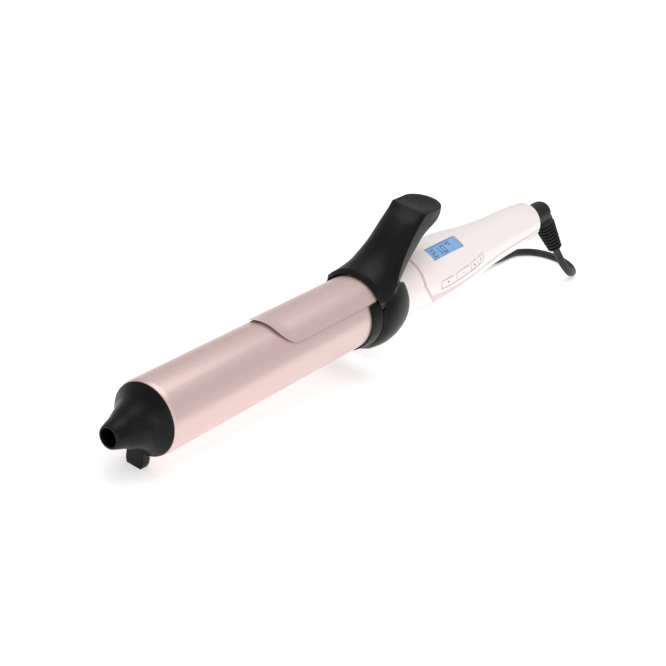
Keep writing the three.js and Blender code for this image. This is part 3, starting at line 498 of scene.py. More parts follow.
class Paint:
    """A material on the iron's own axes."""

    def __init__(self, name):
        self.material = bpy.data.materials.new(name)
        self.material.use_nodes = True
        self.nodes = self.material.node_tree.nodes
        self.links = self.material.node_tree.links
        self.shader = self.nodes["Principled BSDF"]
        place = self.nodes.new("ShaderNodeTexCoord")
        self.axes = self.nodes.new("ShaderNodeMapping")
        self.axes.vector_type = "TEXTURE"
        self.axes.inputs["Location"].default_value = IRON_ORIGIN
        self.axes.inputs["Rotation"].default_value = IRON_TURN
        self.axes.inputs["Scale"].default_value = (MM, MM, MM)
        self.links.new(place.outputs["Object"], self.axes.inputs["Vector"])

    def put(self, kind, inputs=None, **settings):
        made = self.nodes.new(kind)
        for key, value in settings.items():
            setattr(made, key, value)
        for key, value in (inputs or {}).items():
            if isinstance(value, bpy.types.NodeSocket):
                self.links.new(value, made.inputs[key])
            else:
                made.inputs[key].default_value = value
        return made

    def math(self, operation, a, b=0.0, limit=False):
        made = self.put("ShaderNodeMath", {0: a, 1: b}, operation=operation)
        made.use_clamp = limit
        return made.outputs[0]

    def stretched(self, scale):
        return self.put("ShaderNodeMapping", {"Vector": self.axes.outputs[0], "Scale": scale}).outputs[0]

    def noise(self, scale, detail=3.0, stretch=(1, 1, 1), rough=0.5):
        """Cloudy variation, where scale is in features to a millimetre."""
        settings = {"Vector": self.stretched(stretch), "Scale": scale, "Detail": detail, "Roughness": rough}
        return self.put("ShaderNodeTexNoise", settings).outputs["Fac"]

    def spread(self, value, low, high):
        made = self.put("ShaderNodeMapRange",
                        {"Value": value, "From Min": 0.3, "From Max": 0.7, "To Min": low, "To Max": high})
        return made.outputs[0]

    def blend(self, amount, first, second, kind="MIX"):
        made = self.put("ShaderNodeMix", {"Factor": amount}, data_type="RGBA", blend_type=kind)
        for index, value in ((6, first), (7, second)):
            if isinstance(value, bpy.types.NodeSocket):
                self.links.new(value, made.inputs[index])
            else:
                made.inputs[index].default_value = value
        return made.outputs[2]

    def tinted(self, colour, amount, pattern):
        """A colour that varies lighter and darker with a pattern."""
        light = [min(c * (1 + amount), 1.0) for c in colour[:3]] + [1.0]
        dark = [c * (1 - amount) for c in colour[:3]] + [1.0]
        steady = self.put("ShaderNodeMapRange", {"Value": pattern, "From Min": 0.3, "From Max": 0.7})
        return self.blend(steady.outputs[0], dark, light)

    def set(self, name, value):
        if isinstance(value, bpy.types.NodeSocket):
            self.links.new(value, self.shader.inputs[name])
        else:
            self.shader.inputs[name].default_value = value

    def relief(self, height, distance, strength=1.0):
        bump = self.put("ShaderNodeBump", {"Height": height, "Distance": distance, "Strength": strength})
        self.links.new(bump.outputs[0], self.shader.inputs["Normal"])

    def position(self):
        return self.put("ShaderNodeSeparateXYZ", {0: self.axes.outputs[0]}).outputs


def moulded(paint, colour, rough, grain, depth, variation=0.05):
    """A moulded plastic's colour, sheen and skin."""
    cloud = paint.noise(0.05, 4.0)
    skin = paint.noise(grain, 2.0)
    paint.set("Base Color", paint.tinted(linear(colour), variation, cloud))
    paint.set("Roughness", paint.spread(paint.noise(grain * 0.2, 3.0), rough * 0.88, rough * 1.12))
    paint.relief(skin, depth * MM)
    return paint


def metal(paint, colour, rough, stretch=(0.05, 1, 1), grain=3.0):
    brushed = paint.noise(grain, 3.0, stretch)
    paint.set("Base Color", paint.tinted(linear(colour), 0.08, brushed))
    paint.set("Metallic", 1.0)
    paint.set("Roughness", paint.spread(brushed, rough * 0.8, rough * 1.25))
    paint.relief(brushed, 0.01 * MM)
    return paint


@finish("rose coating")
def rose_coating(paint):
    colours = bpy.context.scene.iron_finish
    length = paint.noise(0.16, 2.0, (0.02, 1, 1))
    fleck = paint.noise(4.5, 2.0)
    base = paint.tinted(linear(colours.barrel), 0.035, length)
    speck = paint.put("ShaderNodeMapRange", {"Value": fleck, "From Min": 0.35, "From Max": 0.7,
                                             "To Min": 0.0, "To Max": 0.16})
    paint.set("Base Color", paint.blend(speck.outputs[0], base, linear((0.97, 0.89, 0.87))))
    paint.set("Metallic", 0.55)
    paint.set("Roughness", paint.spread(paint.noise(1.3, 3.0), 0.36, 0.43))
    paint.set("Coat Weight", 0.12)
    paint.set("Coat Roughness", 0.3)
    paint.relief(fleck, 0.012 * MM)
    return paint


@finish("black plastic")
def black_plastic(paint):
    colours = bpy.context.scene.iron_finish
    moulded(paint, colours.lever, 0.4, 2.6, 0.02, 0.12)
    paint.set("Specular IOR Level", 0.2)
    return paint


@finish("guard rubber")
def guard_rubber(paint):
    colours = bpy.context.scene.iron_finish
    moulded(paint, colours.lever, 0.46, 3.4, 0.03, 0.14)
    paint.set("Specular IOR Level", 0.28)
    return paint


@finish("pink plastic")
def pink_plastic(paint):
    colours = bpy.context.scene.iron_finish
    x, _, z = paint.position()[:3]
    # Painted shade: a darker band along the cover's front edge, its front corner and its lower edge at the
    # parting stands in for the shading of the cover's bevelled edge.
    front = paint.math("SUBTRACT", x, COVER_EDGE[0])
    corner_drop = paint.math("DIVIDE", paint.math("SUBTRACT", COVER_EDGE[1], z), 1.25)
    corner = paint.math("SUBTRACT", front, corner_drop)
    parting = paint.put("ShaderNodeMapRange",
                        {"Value": x, "From Min": PARTING[2][0], "From Max": PARTING[3][0],
                         "To Min": PARTING[2][1], "To Max": PARTING[3][1]})
    foot = paint.math("SUBTRACT", z, parting.outputs[0])
    nearest = paint.math("MINIMUM", paint.math("MINIMUM", front, corner), foot)
    band = paint.put("ShaderNodeMapRange", {"Value": nearest, "From Min": 1.9, "From Max": 1.3,
                                            "To Min": 0.0, "To Max": 1.0})
    cloud = paint.noise(0.03, 3.0)
    face = paint.tinted(linear(colours.cover), 0.02, cloud)
    edge = paint.tinted(linear(colours.cover_edge_shade), 0.03, cloud)
    paint.set("Base Color", paint.blend(band.outputs[0], face, edge))
    paint.set("Roughness", paint.spread(paint.noise(0.6, 3.0), 0.2, 0.27))
    paint.set("Coat Weight", 0.5)
    paint.set("Coat Roughness", 0.06)
    paint.relief(paint.noise(1.1, 2.0), 0.006 * MM)
    return paint


@finish("white plastic")
def white_plastic(paint):
    colours = bpy.context.scene.iron_finish
    moulded(paint, colours.shell, 0.3, 1.6, 0.006, 0.02)
    paint.set("Coat Weight", 0.3)
    paint.set("Coat Roughness", 0.1)
    return paint


@finish("key plastic")
def key_plastic(paint):
    colours = bpy.context.scene.iron_finish
    return moulded(paint, colours.keys, 0.34, 2.2, 0.008, 0.03)


@finish("key marks")
def key_marks(paint):
    return moulded(paint, (0.42, 0.38, 0.39), 0.5, 5.0, 0.004, 0.08)


@finish("steel")
def steel(paint):
    return metal(paint, (0.72, 0.72, 0.73), 0.3)


@finish("aluminium")
def aluminium(paint):
    return metal(paint, (0.83, 0.83, 0.84), 0.4, (0.1, 1, 1), 1.6)


@finish("brass")
def brass(paint):
    return metal(paint, (0.82, 0.68, 0.4), 0.28, (1, 0.1, 0.1), 2.2)


@finish("ceramic")
def ceramic(paint):
    return moulded(paint, (0.88, 0.85, 0.78), 0.62, 1.8, 0.03, 0.06)


@finish("lens")
def lens(paint):
    haze = paint.noise(0.8, 3.0)
    paint.set("Base Color", paint.tinted(linear((0.75, 0.84, 0.95)), 0.02, haze))
    paint.set("Alpha", 0.12)
    paint.set("Roughness", paint.spread(haze, 0.02, 0.05))
    return paint


@finish("lcd")
def lcd(paint):
    colours = bpy.context.scene.iron_finish
    sky = linear(colours.display)
    cells = paint.put("ShaderNodeTexVoronoi", {"Vector": paint.stretched((3, 3, 3)), "Scale": 1.0})
    glow = paint.tinted(sky, 0.12, paint.noise(0.12, 2.0))
    paint.set("Base Color", paint.blend(0.06, glow, cells.outputs["Color"], "MULTIPLY"))
    paint.set("Roughness", paint.spread(paint.noise(2.0), 0.22, 0.3))
    return paint


@finish("lcd ink")
def lcd_ink(paint):
    return moulded(paint, (0.02, 0.04, 0.14), 0.3, 4.0, 0.002, 0.1)


@finish("board")
def board(paint):
    traces = paint.put("ShaderNodeTexBrick",
                       {"Vector": paint.stretched((0.5, 0.5, 0.5)), "Scale": 1.0, "Mortar Size": 0.06,
                        "Color1": linear((0.12, 0.38, 0.24)), "Color2": linear((0.1, 0.34, 0.22)),
                        "Mortar": linear((0.3, 0.52, 0.3))})
    paint.set("Base Color", traces.outputs["Color"])
    paint.set("Roughness", paint.spread(paint.noise(1.2), 0.35, 0.5))
    paint.relief(traces.outputs["Fac"], 0.04 * MM)
    return paint


@finish("wire sleeve")
def wire_sleeve(paint):
    braid = paint.put("ShaderNodeTexWave",
                      {"Vector": paint.stretched((1, 1, 1)), "Scale": 1.6, "Distortion": 3.0})
    paint.set("Base Color", paint.tinted(linear((0.9, 0.88, 0.84)), 0.08, braid.outputs["Fac"]))
    paint.set("Roughness", paint.spread(paint.noise(1.5), 0.6, 0.8))
    paint.relief(braid.outputs["Fac"], 0.05 * MM)
    return paint


@finish("cord rubber")
def cord_rubber(paint):
    colours = bpy.context.scene.iron_finish
    return moulded(paint, colours.cord, 0.5, 1.4, 0.03, 0.14)


@finish("tie plastic")
def tie_plastic(paint):
    return moulded(paint, (0.9, 0.88, 0.87), 0.4, 1.8, 0.02, 0.04)


@finish("floor")
def floor_finish(paint):
    shade = paint.noise(0.002, 3.0)
    paint.set("Base Color", paint.tinted((0.9, 0.9, 0.9, 1), 0.006, shade))
    paint.set("Roughness", 0.9)
    paint.set("Specular IOR Level", 0.0)
    paint.set("Emission Color", (1, 1, 1, 1))
    paint.set("Emission Strength", 0.45)
    return paint


# ---- the iron's main sizes ------------------------------------------------------------------------
BARREL_LENGTH = 184.0
BARREL_WALL = 1.5
TIP_LENGTH = 23.2
TIP_OUTLINE = [(-0.87, 6.8), (-0.7, 8), (-0.52, 9.9), (-0.35, 11.6), (-0.22, 13.4), (-0.11, 15.8),
               (-0.03, 17.8)]
TIP_REAR = 18.3
RING_START = 157.0
COLLAR_START = 166.0
COLLAR_END = 193.4
COLLAR_FRONT = 21.2
COLLAR_SHOULDER = [(169.5, 22.9), (175.6, 23.8), (182.8, 23.2), (189.8, 21.4)]
BUSH_RADIUS = 14.6
# Where the bush ends, the walls of the handle's mouldings, and the socket that the guard turns in.
BUSH_END = 205.0
COVER_WALL = 1.8
SHELL_WALL = 2.0
INNER_WALL = 3.7
SWIVEL = {"start": 348.0, "plate": 350.2, "collar": 9.4, "neck": 6.4}
HANDLE_START = 193.7
HANDLE_END = 361.5
HANDLE_OUTLINE = [(193.7, 17.6), (210, 18), (225, 19.6), (240, 20.3), (255, 20), (268, 19), (285, 17),
                  (300, 15.6), (318, 14.5), (348, 13.6), (361.5, 12.6)]
HANDLE_LINE = spline(HANDLE_OUTLINE, AXIAL)
PARTING = [(193, -7.2), (225, -4.9), (250, -1.8), (366, -0.6)]
COVER_EDGE = (212.5, 6.7, 10.5)
STRIP = {"x": 253.4, "z": 4.9, "length": 53.0, "width": 5.2, "lean": 2.1, "sink": 0.5, "thickness": 1.8}
KEYS = [("plus_key", -18.6, 13.0), ("minus_key", -1.4, 15.4), ("lock_key", 13.0, 8.4),
        ("power_key", 21.3, 5.8)]
KEY_WIDTH = 3.6
SCREW_PLACES = (232.0, 338.0)
SCREW_RECESS = 1.2
KEY_STAND = 0.35
LENS = {"x": 244.6, "angle": 21.8, "length": 32.4, "width": 8.6, "thickness": 1.2, "seat": 20.05}


def handle_radius(x):
    for before, after in zip(HANDLE_LINE, HANDLE_LINE[1:]):
        if x <= after[0]:
            return lerp(before[1], after[1], (x - before[0]) / (after[0] - before[0]))
    return HANDLE_LINE[-1][1]


def handle_body(inset, start=HANDLE_START, end=HANDLE_END, sides=SIDES):
    inner = [(p[0], p[1] - inset) for p in HANDLE_LINE if start < p[0] < end]
    first = (start, handle_radius(start) - inset)
    last = (end, handle_radius(end) - inset)
    return turned("handle", [(start, 0), first, *inner, last, (end, 0)], sides)


def under_parting(offset):
    edge = [(x, z + offset) for x, z in PARTING]
    outline = [(100, -100), (REACH, -100), (REACH, edge[-1][1]), *edge[::-1], (100, edge[0][1])]
    return prism(outline, -100, 100)


def behind_cover_edge(offset):
    x = COVER_EDGE[0] + offset
    z, run = COVER_EDGE[1], COVER_EDGE[2]
    outline = [(x, 100), (x, z), (x + run * 2, z - run * 2.5), (REACH, z - run * 2.5), (REACH, 100)]
    return prism(rounded(outline, 2.4), -100, 100)


def lever_opening(clearance):
    base = [(60, 15.3), (165.8, 15.3), (165.8, 19.5), (176, 18.6), (180, 17.4), (185, 15.2), (190, 13.6),
            (198, 12.2)]
    near = [(x, y + clearance) for x, y in base]
    far = [(x, -y) for x, y in near[::-1]]
    return prism(near + far, 8, 100, "xy")


def above_rest(obj):
    """Cuts a piece off level with what the iron stands on."""
    floor = box((-REACH, -REACH, -REACH), (REACH, REACH, 0))
    return cut(obj, moved(floor, IRON.inverted() @ WORLD_MM))


# ---- barrel, tip and collar -----------------------------------------------------------------------
def build_barrel(radius):
    bore = radius - BARREL_WALL
    roll = rounded([(GAP, bore), (GAP, TIP_REAR), (2.2, radius), (BARREL_LENGTH, radius),
                    (BARREL_LENGTH, bore)], 1.4, 5)
    section = section_object("barrel", [(r - 1.0, -x) for x, r in roll])
    turning_tree(FINISHES["rose coating"](), 192).applied(section)
    return finished(section, "barrel_sleeve", "rose coating", "housing", ["barrel"])


def build_tip():
    mouth, bore, depth = 5.9, 4.5, 15.0
    bell = [(s * TIP_LENGTH, r) for s, r in TIP_OUTLINE]
    outer = [tuple(p) for p in spline([(-TIP_LENGTH + 0.5, mouth), *bell, (-0.1, TIP_REAR)], 60)]
    lip = rounded([(-TIP_LENGTH + 3, bore), (-TIP_LENGTH, bore + 0.1), (-TIP_LENGTH, mouth - 0.3),
                   outer[0]], 0.7, 4, closed=False)
    spigot = [(0, TIP_REAR), (0, 17.2), (9, 17.2), (9, 15), (GAP, 15), (GAP, 0)]
    bottom = depth - TIP_LENGTH
    profile = [(bottom, 0), (bottom, bore), *[tuple(p) for p in lip], *outer[1:], *spigot]
    cap = turned("tip", profile)
    foot_section = [(-5.2, -8), (5.2, -8), (5.2, -21.6), (3.6, -26), (-3.6, -26), (-5.2, -21.6)]
    foot = softened(prism(rounded(foot_section, 0.8, 3), -4, 1.2, "yz"), 0.5)
    cut(foot, rod(0.15, 20, 19.3), rod(-8, 9.5, 7))
    join(cap, foot)
    above_rest(cap)
    return finished(cap, "tip_moulding", "black plastic", "housing", ["tip_cap"])


def build_collar():
    inner = 19.0 + GAP
    crown = [tuple(p) for p in spline([(COLLAR_START + 0.6, COLLAR_FRONT + 0.35), *COLLAR_SHOULDER,
                                       (COLLAR_END - 0.2, 19.9)], 40)]
    profile = [(COLLAR_START, inner), (COLLAR_START, COLLAR_FRONT - 0.1), *crown,
               (COLLAR_END, 19.5), (COLLAR_END, 14.9), (COLLAR_END - 1.2, 14.9), (COLLAR_END - 1.2, 18.6),
               (185.5, 21), (184.3, inner)]
    collar = cut(turned("collar", profile), lever_opening(GAP))
    finished(collar, "collar_moulding", "black plastic", "housing", ["collar"])
    end = COLLAR_START - GAP
    lip = rounded([(RING_START, inner), (RING_START, 19.9), (end, COLLAR_FRONT - 0.2), (end, inner)], 0.35, 3)
    ring = cut(turned("ring", [tuple(p) for p in lip]), lever_opening(GAP))
    finished(ring, "collar_ring_moulding", "black plastic", "housing", ["collar_ring"])


# ---- clip and lever -------------------------------------------------------------------------------
CLIP = {"front": 85.0, "end": 171.0, "radius": 19.4, "thickness": 0.8, "half_angle": 49.0,
        "corner": 11.0, "flare": 1.0, "flare_length": 9.0}
RIVET = {"x": 168.3, "y": 7.0, "radius": 1.1, "top": 21.4, "bottom": 18.6}


def clip_front(across):
    """How far back the clip's front edge lies, at a distance from its middle."""
    half = (CLIP["radius"] + CLIP["thickness"]) * math.sin(math.radians(CLIP["half_angle"]))
    over = abs(across) - (half - CLIP["corner"])
    if over <= 0:
        return CLIP["front"]
    inside = max(CLIP["corner"] ** 2 - over ** 2, 0)
    return CLIP["front"] + CLIP["corner"] - math.sqrt(inside)


def build_clip():
    around, along = 72, 60
    points, faces = [], []
    half = math.radians(CLIP["half_angle"])
    for i in range(around + 1):
        turn = i / around * 2 - 1
        angle = half * math.sin(turn * math.pi / 2)
        start = clip_front((CLIP["radius"] + CLIP["thickness"]) * math.sin(angle))
        for j in range(along + 1):
            x = lerp(start, CLIP["end"], (j / along) ** 1.3)
            lift = max(0.0, 1 - (x - CLIP["front"]) / CLIP["flare_length"])
            radius = CLIP["radius"] + CLIP["flare"] * lift ** 1.6
            points.append((x, radius * math.sin(angle), radius * math.cos(angle)))
    for i in range(around):
        for j in range(along):
            a = i * (along + 1) + j
            faces.append([a, a + along + 1, a + along + 2, a + 1])
    sheet = from_faces("clip", points, faces)
    if sum(face.normal.z for face in sheet.data.polygons) < 0:
        sheet.data.flip_normals()
    wall = sheet.modifiers.new("wall", "SOLIDIFY")
    wall.thickness = CLIP["thickness"]
    wall.offset = 1.0
    evaluated(sheet)
    for side in (1, -1):
        hole = rivet(side, GAP)
        cut(sheet, hole)
    finished(sheet, "clip_sheet", "rose coating", "lever", ["clip"], angle=50)
    for side, name in ((1, "clip_rivet_left"), (-1, "clip_rivet_right")):
        head = softened(rivet(side, 0.0), 0.3)
        finished(head, name + "_turned", "steel", "lever", [name])


def rivet(side, clearance):
    radius = RIVET["radius"] + clearance
    shank = turned("rivet", [(RIVET["bottom"] - clearance, 0), (RIVET["bottom"] - clearance, radius),
                             (RIVET["top"] + clearance, radius), (RIVET["top"] + clearance, 0)], 32)
    upright = Matrix.Rotation(-math.pi / 2, 4, "Y")
    return moved(shank, Matrix.Translation((RIVET["x"], side * RIVET["y"], 0)) @ upright)


# Sections from the hood's front rim to the thumb pad: the middle of the upper and of the under side,
# their half widths, how far each edge lies from its middle, and roundness.
LEVER_SECTIONS = [
    ((166.4, 23.9), (163.8, 21.4), (19.2, 17.6), (0, -10.1), (0, -9.2), 0.8),
    ((171.4, 25.6), (172, 20.7), (19, 17.2), (1, -11.4), (0, -8.6), 0.8),
    ((177.4, 29), (181, 20.9), (17, 15.6), (2.2, -11.4), (0, -6.6), 0.82),
    ((183, 33.6), (190, 22.6), (14.6, 13.2), (1.5, -9.6), (0, -3), 0.85),
    ((188, 39), (197, 27), (13, 11.8), (1.2, -9.2), (0, -1), 0.87),
    ((192.8, 43.6), (203.6, 32.4), (12.1, 11.2), (1, -7.6), (0, -0.4), 0.9),
    ((197.4, 47.2), (211, 37.4), (11.6, 10.9), (1.2, -5.2), (-1, 0.4), 0.92),
    ((202.4, 49.6), (230, 43.6), (11.3, 11.2), (1.2, -2.4), (-9, 0.6), 0.94),
    ((205.8, 51.4), (230.6, 51), (11.3, 11.5), (1.2, -0.2), (-9, 0), 0.95),
]


# The room the lever swings in, in degrees and millimetres, its seat on the pin, and the thumb pad's dish.
LEVER_GAP = 0.35
LEVER_SWING = 20
SWING_STEPS = 5
SEAT = {"radius": 1.5, "half": 9.1}
PAD_DISH = {"x": 218.2, "radius": 62, "depth": 0.95}


def lever_section(at):
    """The lever's section at a share of its length, smoothed between the sections given."""
    place = at * (len(LEVER_SECTIONS) - 1)
    index = min(int(place), len(LEVER_SECTIONS) - 2)
    t = place - index
    rows = [LEVER_SECTIONS[clamp(index + i, 0, len(LEVER_SECTIONS) - 1)] for i in (-1, 0, 1, 2)]
    flat = [[*row[0], *row[1], *row[2], *row[3], *row[4], row[5]] for row in rows]
    return [b + 0.5 * t * (c - a + t * (2 * a - 5 * b + 4 * c - d + t * (3 * (b - c) + d - a)))
            for a, b, c, d in zip(*flat)]


def lever_point(along, across, height):
    """A point of the lever: along and height run 0 to 1, across runs -1 to 1."""
    (top_x, top_z, under_x, under_z, top_half, under_half, top_dx, top_dz, under_dx, under_dz,
     round_) = lever_section(along)
    bow = (1 - math.sqrt(1 - (round_ * across) ** 2)) / (1 - math.sqrt(1 - round_ ** 2))
    top = Vector((top_x + top_dx * bow, top_half * across, top_z + top_dz * bow))
    under = Vector((under_x + under_dx * bow, under_half * across, under_z + under_dz * bow))
    return under.lerp(top, height)


def lever_shape():
    """A closed block that follows the lever's sections, with its edges rounded."""
    along = 84
    half = (0.14, 0.28, 0.4, 0.52, 0.64, 0.76, 0.88, 1)
    stations = [-share for share in reversed(half)] + [0, *half]
    heights = [0.0, 0.5, 1.0]
    index = {}
    points = []

    def corner(i, a, h):
        key = (i, a, h)
        if key not in index:
            index[key] = len(points)
            points.append(lever_point(i / along, stations[a], heights[h]))
        return index[key]

    faces = []

    def quad(*places):
        faces.append([corner(*place) for place in places])

    wide = len(stations) - 1
    for i in range(along):
        for a in range(wide):
            for h in (0, 2):
                quad((i, a, h), (i + 1, a, h), (i + 1, a + 1, h), (i, a + 1, h))
        for h in range(2):
            for a in (0, wide):
                quad((i, a, h), (i + 1, a, h), (i + 1, a, h + 1), (i, a, h + 1))
    for i in (0, along):
        for a in range(wide):
            for h in range(2):
                quad((i, a, h), (i, a + 1, h), (i, a + 1, h + 1), (i, a, h + 1))
    blank = from_faces("lever", points, faces)
    work = bmesh.new()
    work.from_mesh(blank.data)
    work.verts.ensure_lookup_table()
    long_edges = []
    for edge in work.edges:
        if len(edge.link_faces) == 2 and edge.calc_face_angle(0) > math.radians(28):
            long_edges.append(edge)
    bmesh.ops.bevel(work, geom=long_edges, offset=1.3, segments=4, profile=0.5, affect="EDGES",
                    clamp_overlap=True)
    work.to_mesh(blank.data)
    work.free()
    return blank


def swung(obj, degrees):
    back = Matrix.Translation((PIVOT[0], 0, PIVOT[1]))
    return moved(obj, back @ Matrix.Rotation(math.radians(degrees), 4, "Y") @ back.inverted())


def build_lever():
    lever = lever_shape()
    clearance = LEVER_GAP
    for step in range(SWING_STEPS + 1):
        degrees = -LEVER_SWING * step / SWING_STEPS
        cut(lever, swung(rod(171, BARREL_LENGTH + GAP, 19 + clearance, 96), degrees),
            swung(rod(BARREL_LENGTH - 2, HANDLE_START, BUSH_RADIUS + clearance, 96), degrees),
            swung(moved(handle_body(-clearance, sides=96), Matrix.Translation((-GAP, 0, 0))), degrees))
    cut(lever, rod(RING_START, CLIP["end"] + GAP, CLIP["radius"] + CLIP["thickness"] + GAP))
    roof = [(7.5, 0), (7.5, 3.5), (1, 3.5), (-2.8, 2.6), (-5.1, -0.1), (-5.1, -22)]
    pocket = prism([(PIVOT[0] + x, PIVOT[1] + z) for x, z in [(7.5, -22), *roof]], -6.9, 6.9)
    half, radius = SEAT["half"], SEAT["radius"]
    seat = moved(rod(-half, half, radius, 32), Matrix.Translation((PIVOT[0], 0, PIVOT[1]))
                 @ Matrix.Rotation(math.pi / 2, 4, "Z"))
    slot = box((PIVOT[0] - radius, -half, 0), (PIVOT[0] + radius, half, PIVOT[1]))
    cut(lever, pocket, seat, slot, rivet(1, GAP), rivet(-1, GAP))
    pad_top = (LEVER_SECTIONS[-1][0][1] + LEVER_SECTIONS[-1][1][1]) / 2
    radius, depth = PAD_DISH["radius"], PAD_DISH["depth"]
    bowl = turned("bowl", [(radius * -math.cos(math.pi * i / 64), radius * math.sin(math.pi * i / 64))
                           for i in range(65)], 96)
    centre = (PAD_DISH["x"], 0, pad_top + radius - depth)
    moved(bowl, Matrix.Translation(centre) @ Matrix.Rotation(math.pi / 2, 4, "Y"))
    cut(lever, bowl)
    finished(lever, "lever_moulding", "black plastic", "lever", ["lever"], angle=38)


def build_spring():
    seed = section_object("spring", [(0, 0), (1, 0), (0, 1)])
    sizes = {"turns": 3.5, "coil": 1.9, "width": 5.2, "wire": 0.45, "arm": 4.2}
    coil_tree(FINISHES["steel"](), sizes).applied(seed)
    place = Matrix.Translation((PIVOT[0], 2.6, PIVOT[1])) @ Matrix.Rotation(math.pi / 2, 4, "X")
    moved(seed, place)
    finished(seed, "spring_coil", "steel", "housing", ["lever_spring"], angle=60)


# ---- handle ---------------------------------------------------------------------------------------
def swivel_room(clearance):
    start, plate = SWIVEL["start"] - clearance, SWIVEL["plate"] + clearance
    return [rod(start, plate, SWIVEL["collar"] + clearance, 96),
            rod(start, HANDLE_END + 1, SWIVEL["neck"] + clearance, 96)]


def on_lens_plane(obj):
    angle = math.radians(LENS["angle"])
    return moved(obj, Matrix.Rotation(angle, 4, "X") @ Matrix.Translation((LENS["x"], 0, LENS["seat"])))


def lens_block(grow, top, bottom, corner=0.5):
    length = LENS["length"] / 2 + grow
    width = LENS["width"] / 2 + grow
    outline = rounded([(-length, -width), (length, -width), (length, width), (-length, width)], corner, 4)
    return on_lens_plane(prism(outline, bottom, top, "xy"))


def side_prism(length, width, along, clearance=0.0):
    """A pill outline on the key side of the handle, carried inwards."""
    half = length / 2 - width / 2
    radius = width / 2 + clearance
    outline = []
    for centre, first in ((half, -90), (-half, 90)):
        for step in range(17):
            angle = math.radians(first + 180 * step / 16)
            outline.append((centre + radius * math.cos(angle), radius * math.sin(angle)))
    pill = moved(prism(outline, -24, -9), Matrix.Translation((along, 0, 0)))
    lean = Matrix.Rotation(-math.radians(STRIP["lean"]), 4, "Y")
    return moved(pill, Matrix.Translation((STRIP["x"], 0, STRIP["z"])) @ lean)


def build_cover():
    cover = cut(handle_body(0.0), handle_body(COVER_WALL, HANDLE_START - 2, HANDLE_END + 2))
    keep(cover, behind_cover_edge(0.0))
    cut(cover, under_parting(GAP / 2), lens_block(GAP, 12, -12),
        side_prism(STRIP["length"], STRIP["width"], 0, GAP), *swivel_room(GAP))
    finished(cover, "cover_moulding", "pink plastic", "housing", ["top_cover"])


def build_upper_shell():
    neck = cut(handle_body(0.0), behind_cover_edge(-GAP))
    join(neck, handle_body(COVER_WALL + GAP))
    cut(neck, handle_body(INNER_WALL, HANDLE_START - 2, HANDLE_END - 1.6),
        rod(150, BUSH_END + GAP, BUSH_RADIUS + GAP), under_parting(GAP / 2),
        side_prism(STRIP["length"], STRIP["width"], 0, GAP), lens_block(1.9, 12, -12), *swivel_room(GAP))
    finished(neck, "upper_shell_moulding", "white plastic", "housing", ["upper_shell"])


# The stand's outline at each height: its front, its rear and its half width.
TOE_RINGS = [(-12, 165, 206, 12.5), (-20, 170.5, 201.5, 12.5), (-23.8, 174.5, 199, 12.3),
             (-30, 180.4, 197.3, 9.2), (-36, 185.6, 195.5, 6.6), (-39, 186.6, 194.6, 6)]


def toe_shape():
    """The stand under the collar: it narrows downwards in both directions."""
    rings = []
    for z, front, rear, half in TOE_RINGS:
        outline = rounded([(front, -half), (rear, -half), (rear, half), (front, half)], 3.2, 5)
        rings.append([(p[0], p[1], z) for p in outline])
    count = len(rings[0])
    points = [p for ring in rings for p in ring]
    faces = [list(range(count)), [len(points) - count + i for i in range(count)]]
    for i in range(len(rings) - 1):
        for j in range(count):
            k = (j + 1) % count
            faces.append([i * count + j, i * count + k, (i + 1) * count + k, (i + 1) * count + j])
    return from_faces("toe", points, faces)


def collar_room():
    shoulder = spline([(COLLAR_START, COLLAR_FRONT), *COLLAR_SHOULDER, (COLLAR_END, 19.8)], 24)
    crown = [(x, r + GAP) for x, r in shoulder]
    end = COLLAR_END + GAP
    return turned("room", [(150, 0), (150, COLLAR_FRONT + GAP), *crown, (end, 20.1), (end, 0)])


def screw_profile(x, clearance):
    bottom = -handle_radius(x) + SCREW_RECESS
    head, shank = 2.6 + clearance, 1.3 + clearance
    entry = bottom - (6 if clearance else 0)
    top = -4.5 + clearance
    return [(entry, 0), (entry, head), (bottom + 1.6, head), (bottom + 2.2, shank), (top, shank), (top, 0)]


def upright_at(obj, x):
    return moved(obj, Matrix.Translation((x, 0, 0)) @ Matrix.Rotation(-math.pi / 2, 4, "Y"))


def build_lower_shell():
    shell = handle_body(0.0)
    join(shell, toe_shape())
    cut(shell, handle_body(SHELL_WALL, HANDLE_START - 2, HANDLE_END + 2), rod(150, HANDLE_START, 15.6),
        collar_room())
    keep(shell, under_parting(-GAP / 2))
    for x in SCREW_PLACES:
        foot = -handle_radius(x) + 1
        post = turned("post", [(foot, 0), (foot, 3.4), (-3.5, 3.4), (-3.5, 0)], 48)
        join(shell, upright_at(post, x))
        cut(shell, upright_at(turned("hole", screw_profile(x, GAP), 48), x))
    cut(shell, rod(150, BUSH_END + GAP, BUSH_RADIUS + GAP), *swivel_room(GAP))
    above_rest(shell)
    finished(shell, "lower_shell_moulding", "white plastic", "housing", ["lower_shell"])


def build_screws():
    """One slotted screw, repeated at each post by the tree."""
    first, second = SCREW_PLACES
    screw = turned("screws", screw_profile(first, 0.0), 40)
    bottom = SCREW_RECESS - handle_radius(first)
    for half_y, half_z in ((1.6, 0.3), (0.3, 1.6)):
        cut(screw, box((bottom - 1, -half_y, -half_z), (bottom + 0.8, half_y, half_z)))
    upright_at(screw, 0)
    step = (second - first, 0, handle_radius(first) - handle_radius(second))
    copies_tree(FINISHES["steel"](), (first, 0, 0), step).applied(screw)
    finished(screw, "shell_screws", "steel", "housing", ["shell_screw_1", "shell_screw_2"])


# ---- display and keys -----------------------------------------------------------------------------
SEGMENTS = {"0": "abcdef", "1": "bc", "2": "abged"}


def bar(x0, y0, x1, y1, low, high):
    return prism(rounded([(x0, y0), (x1, y0), (x1, y1), (x0, y1)], 0.2, 2), low, high, "xy")


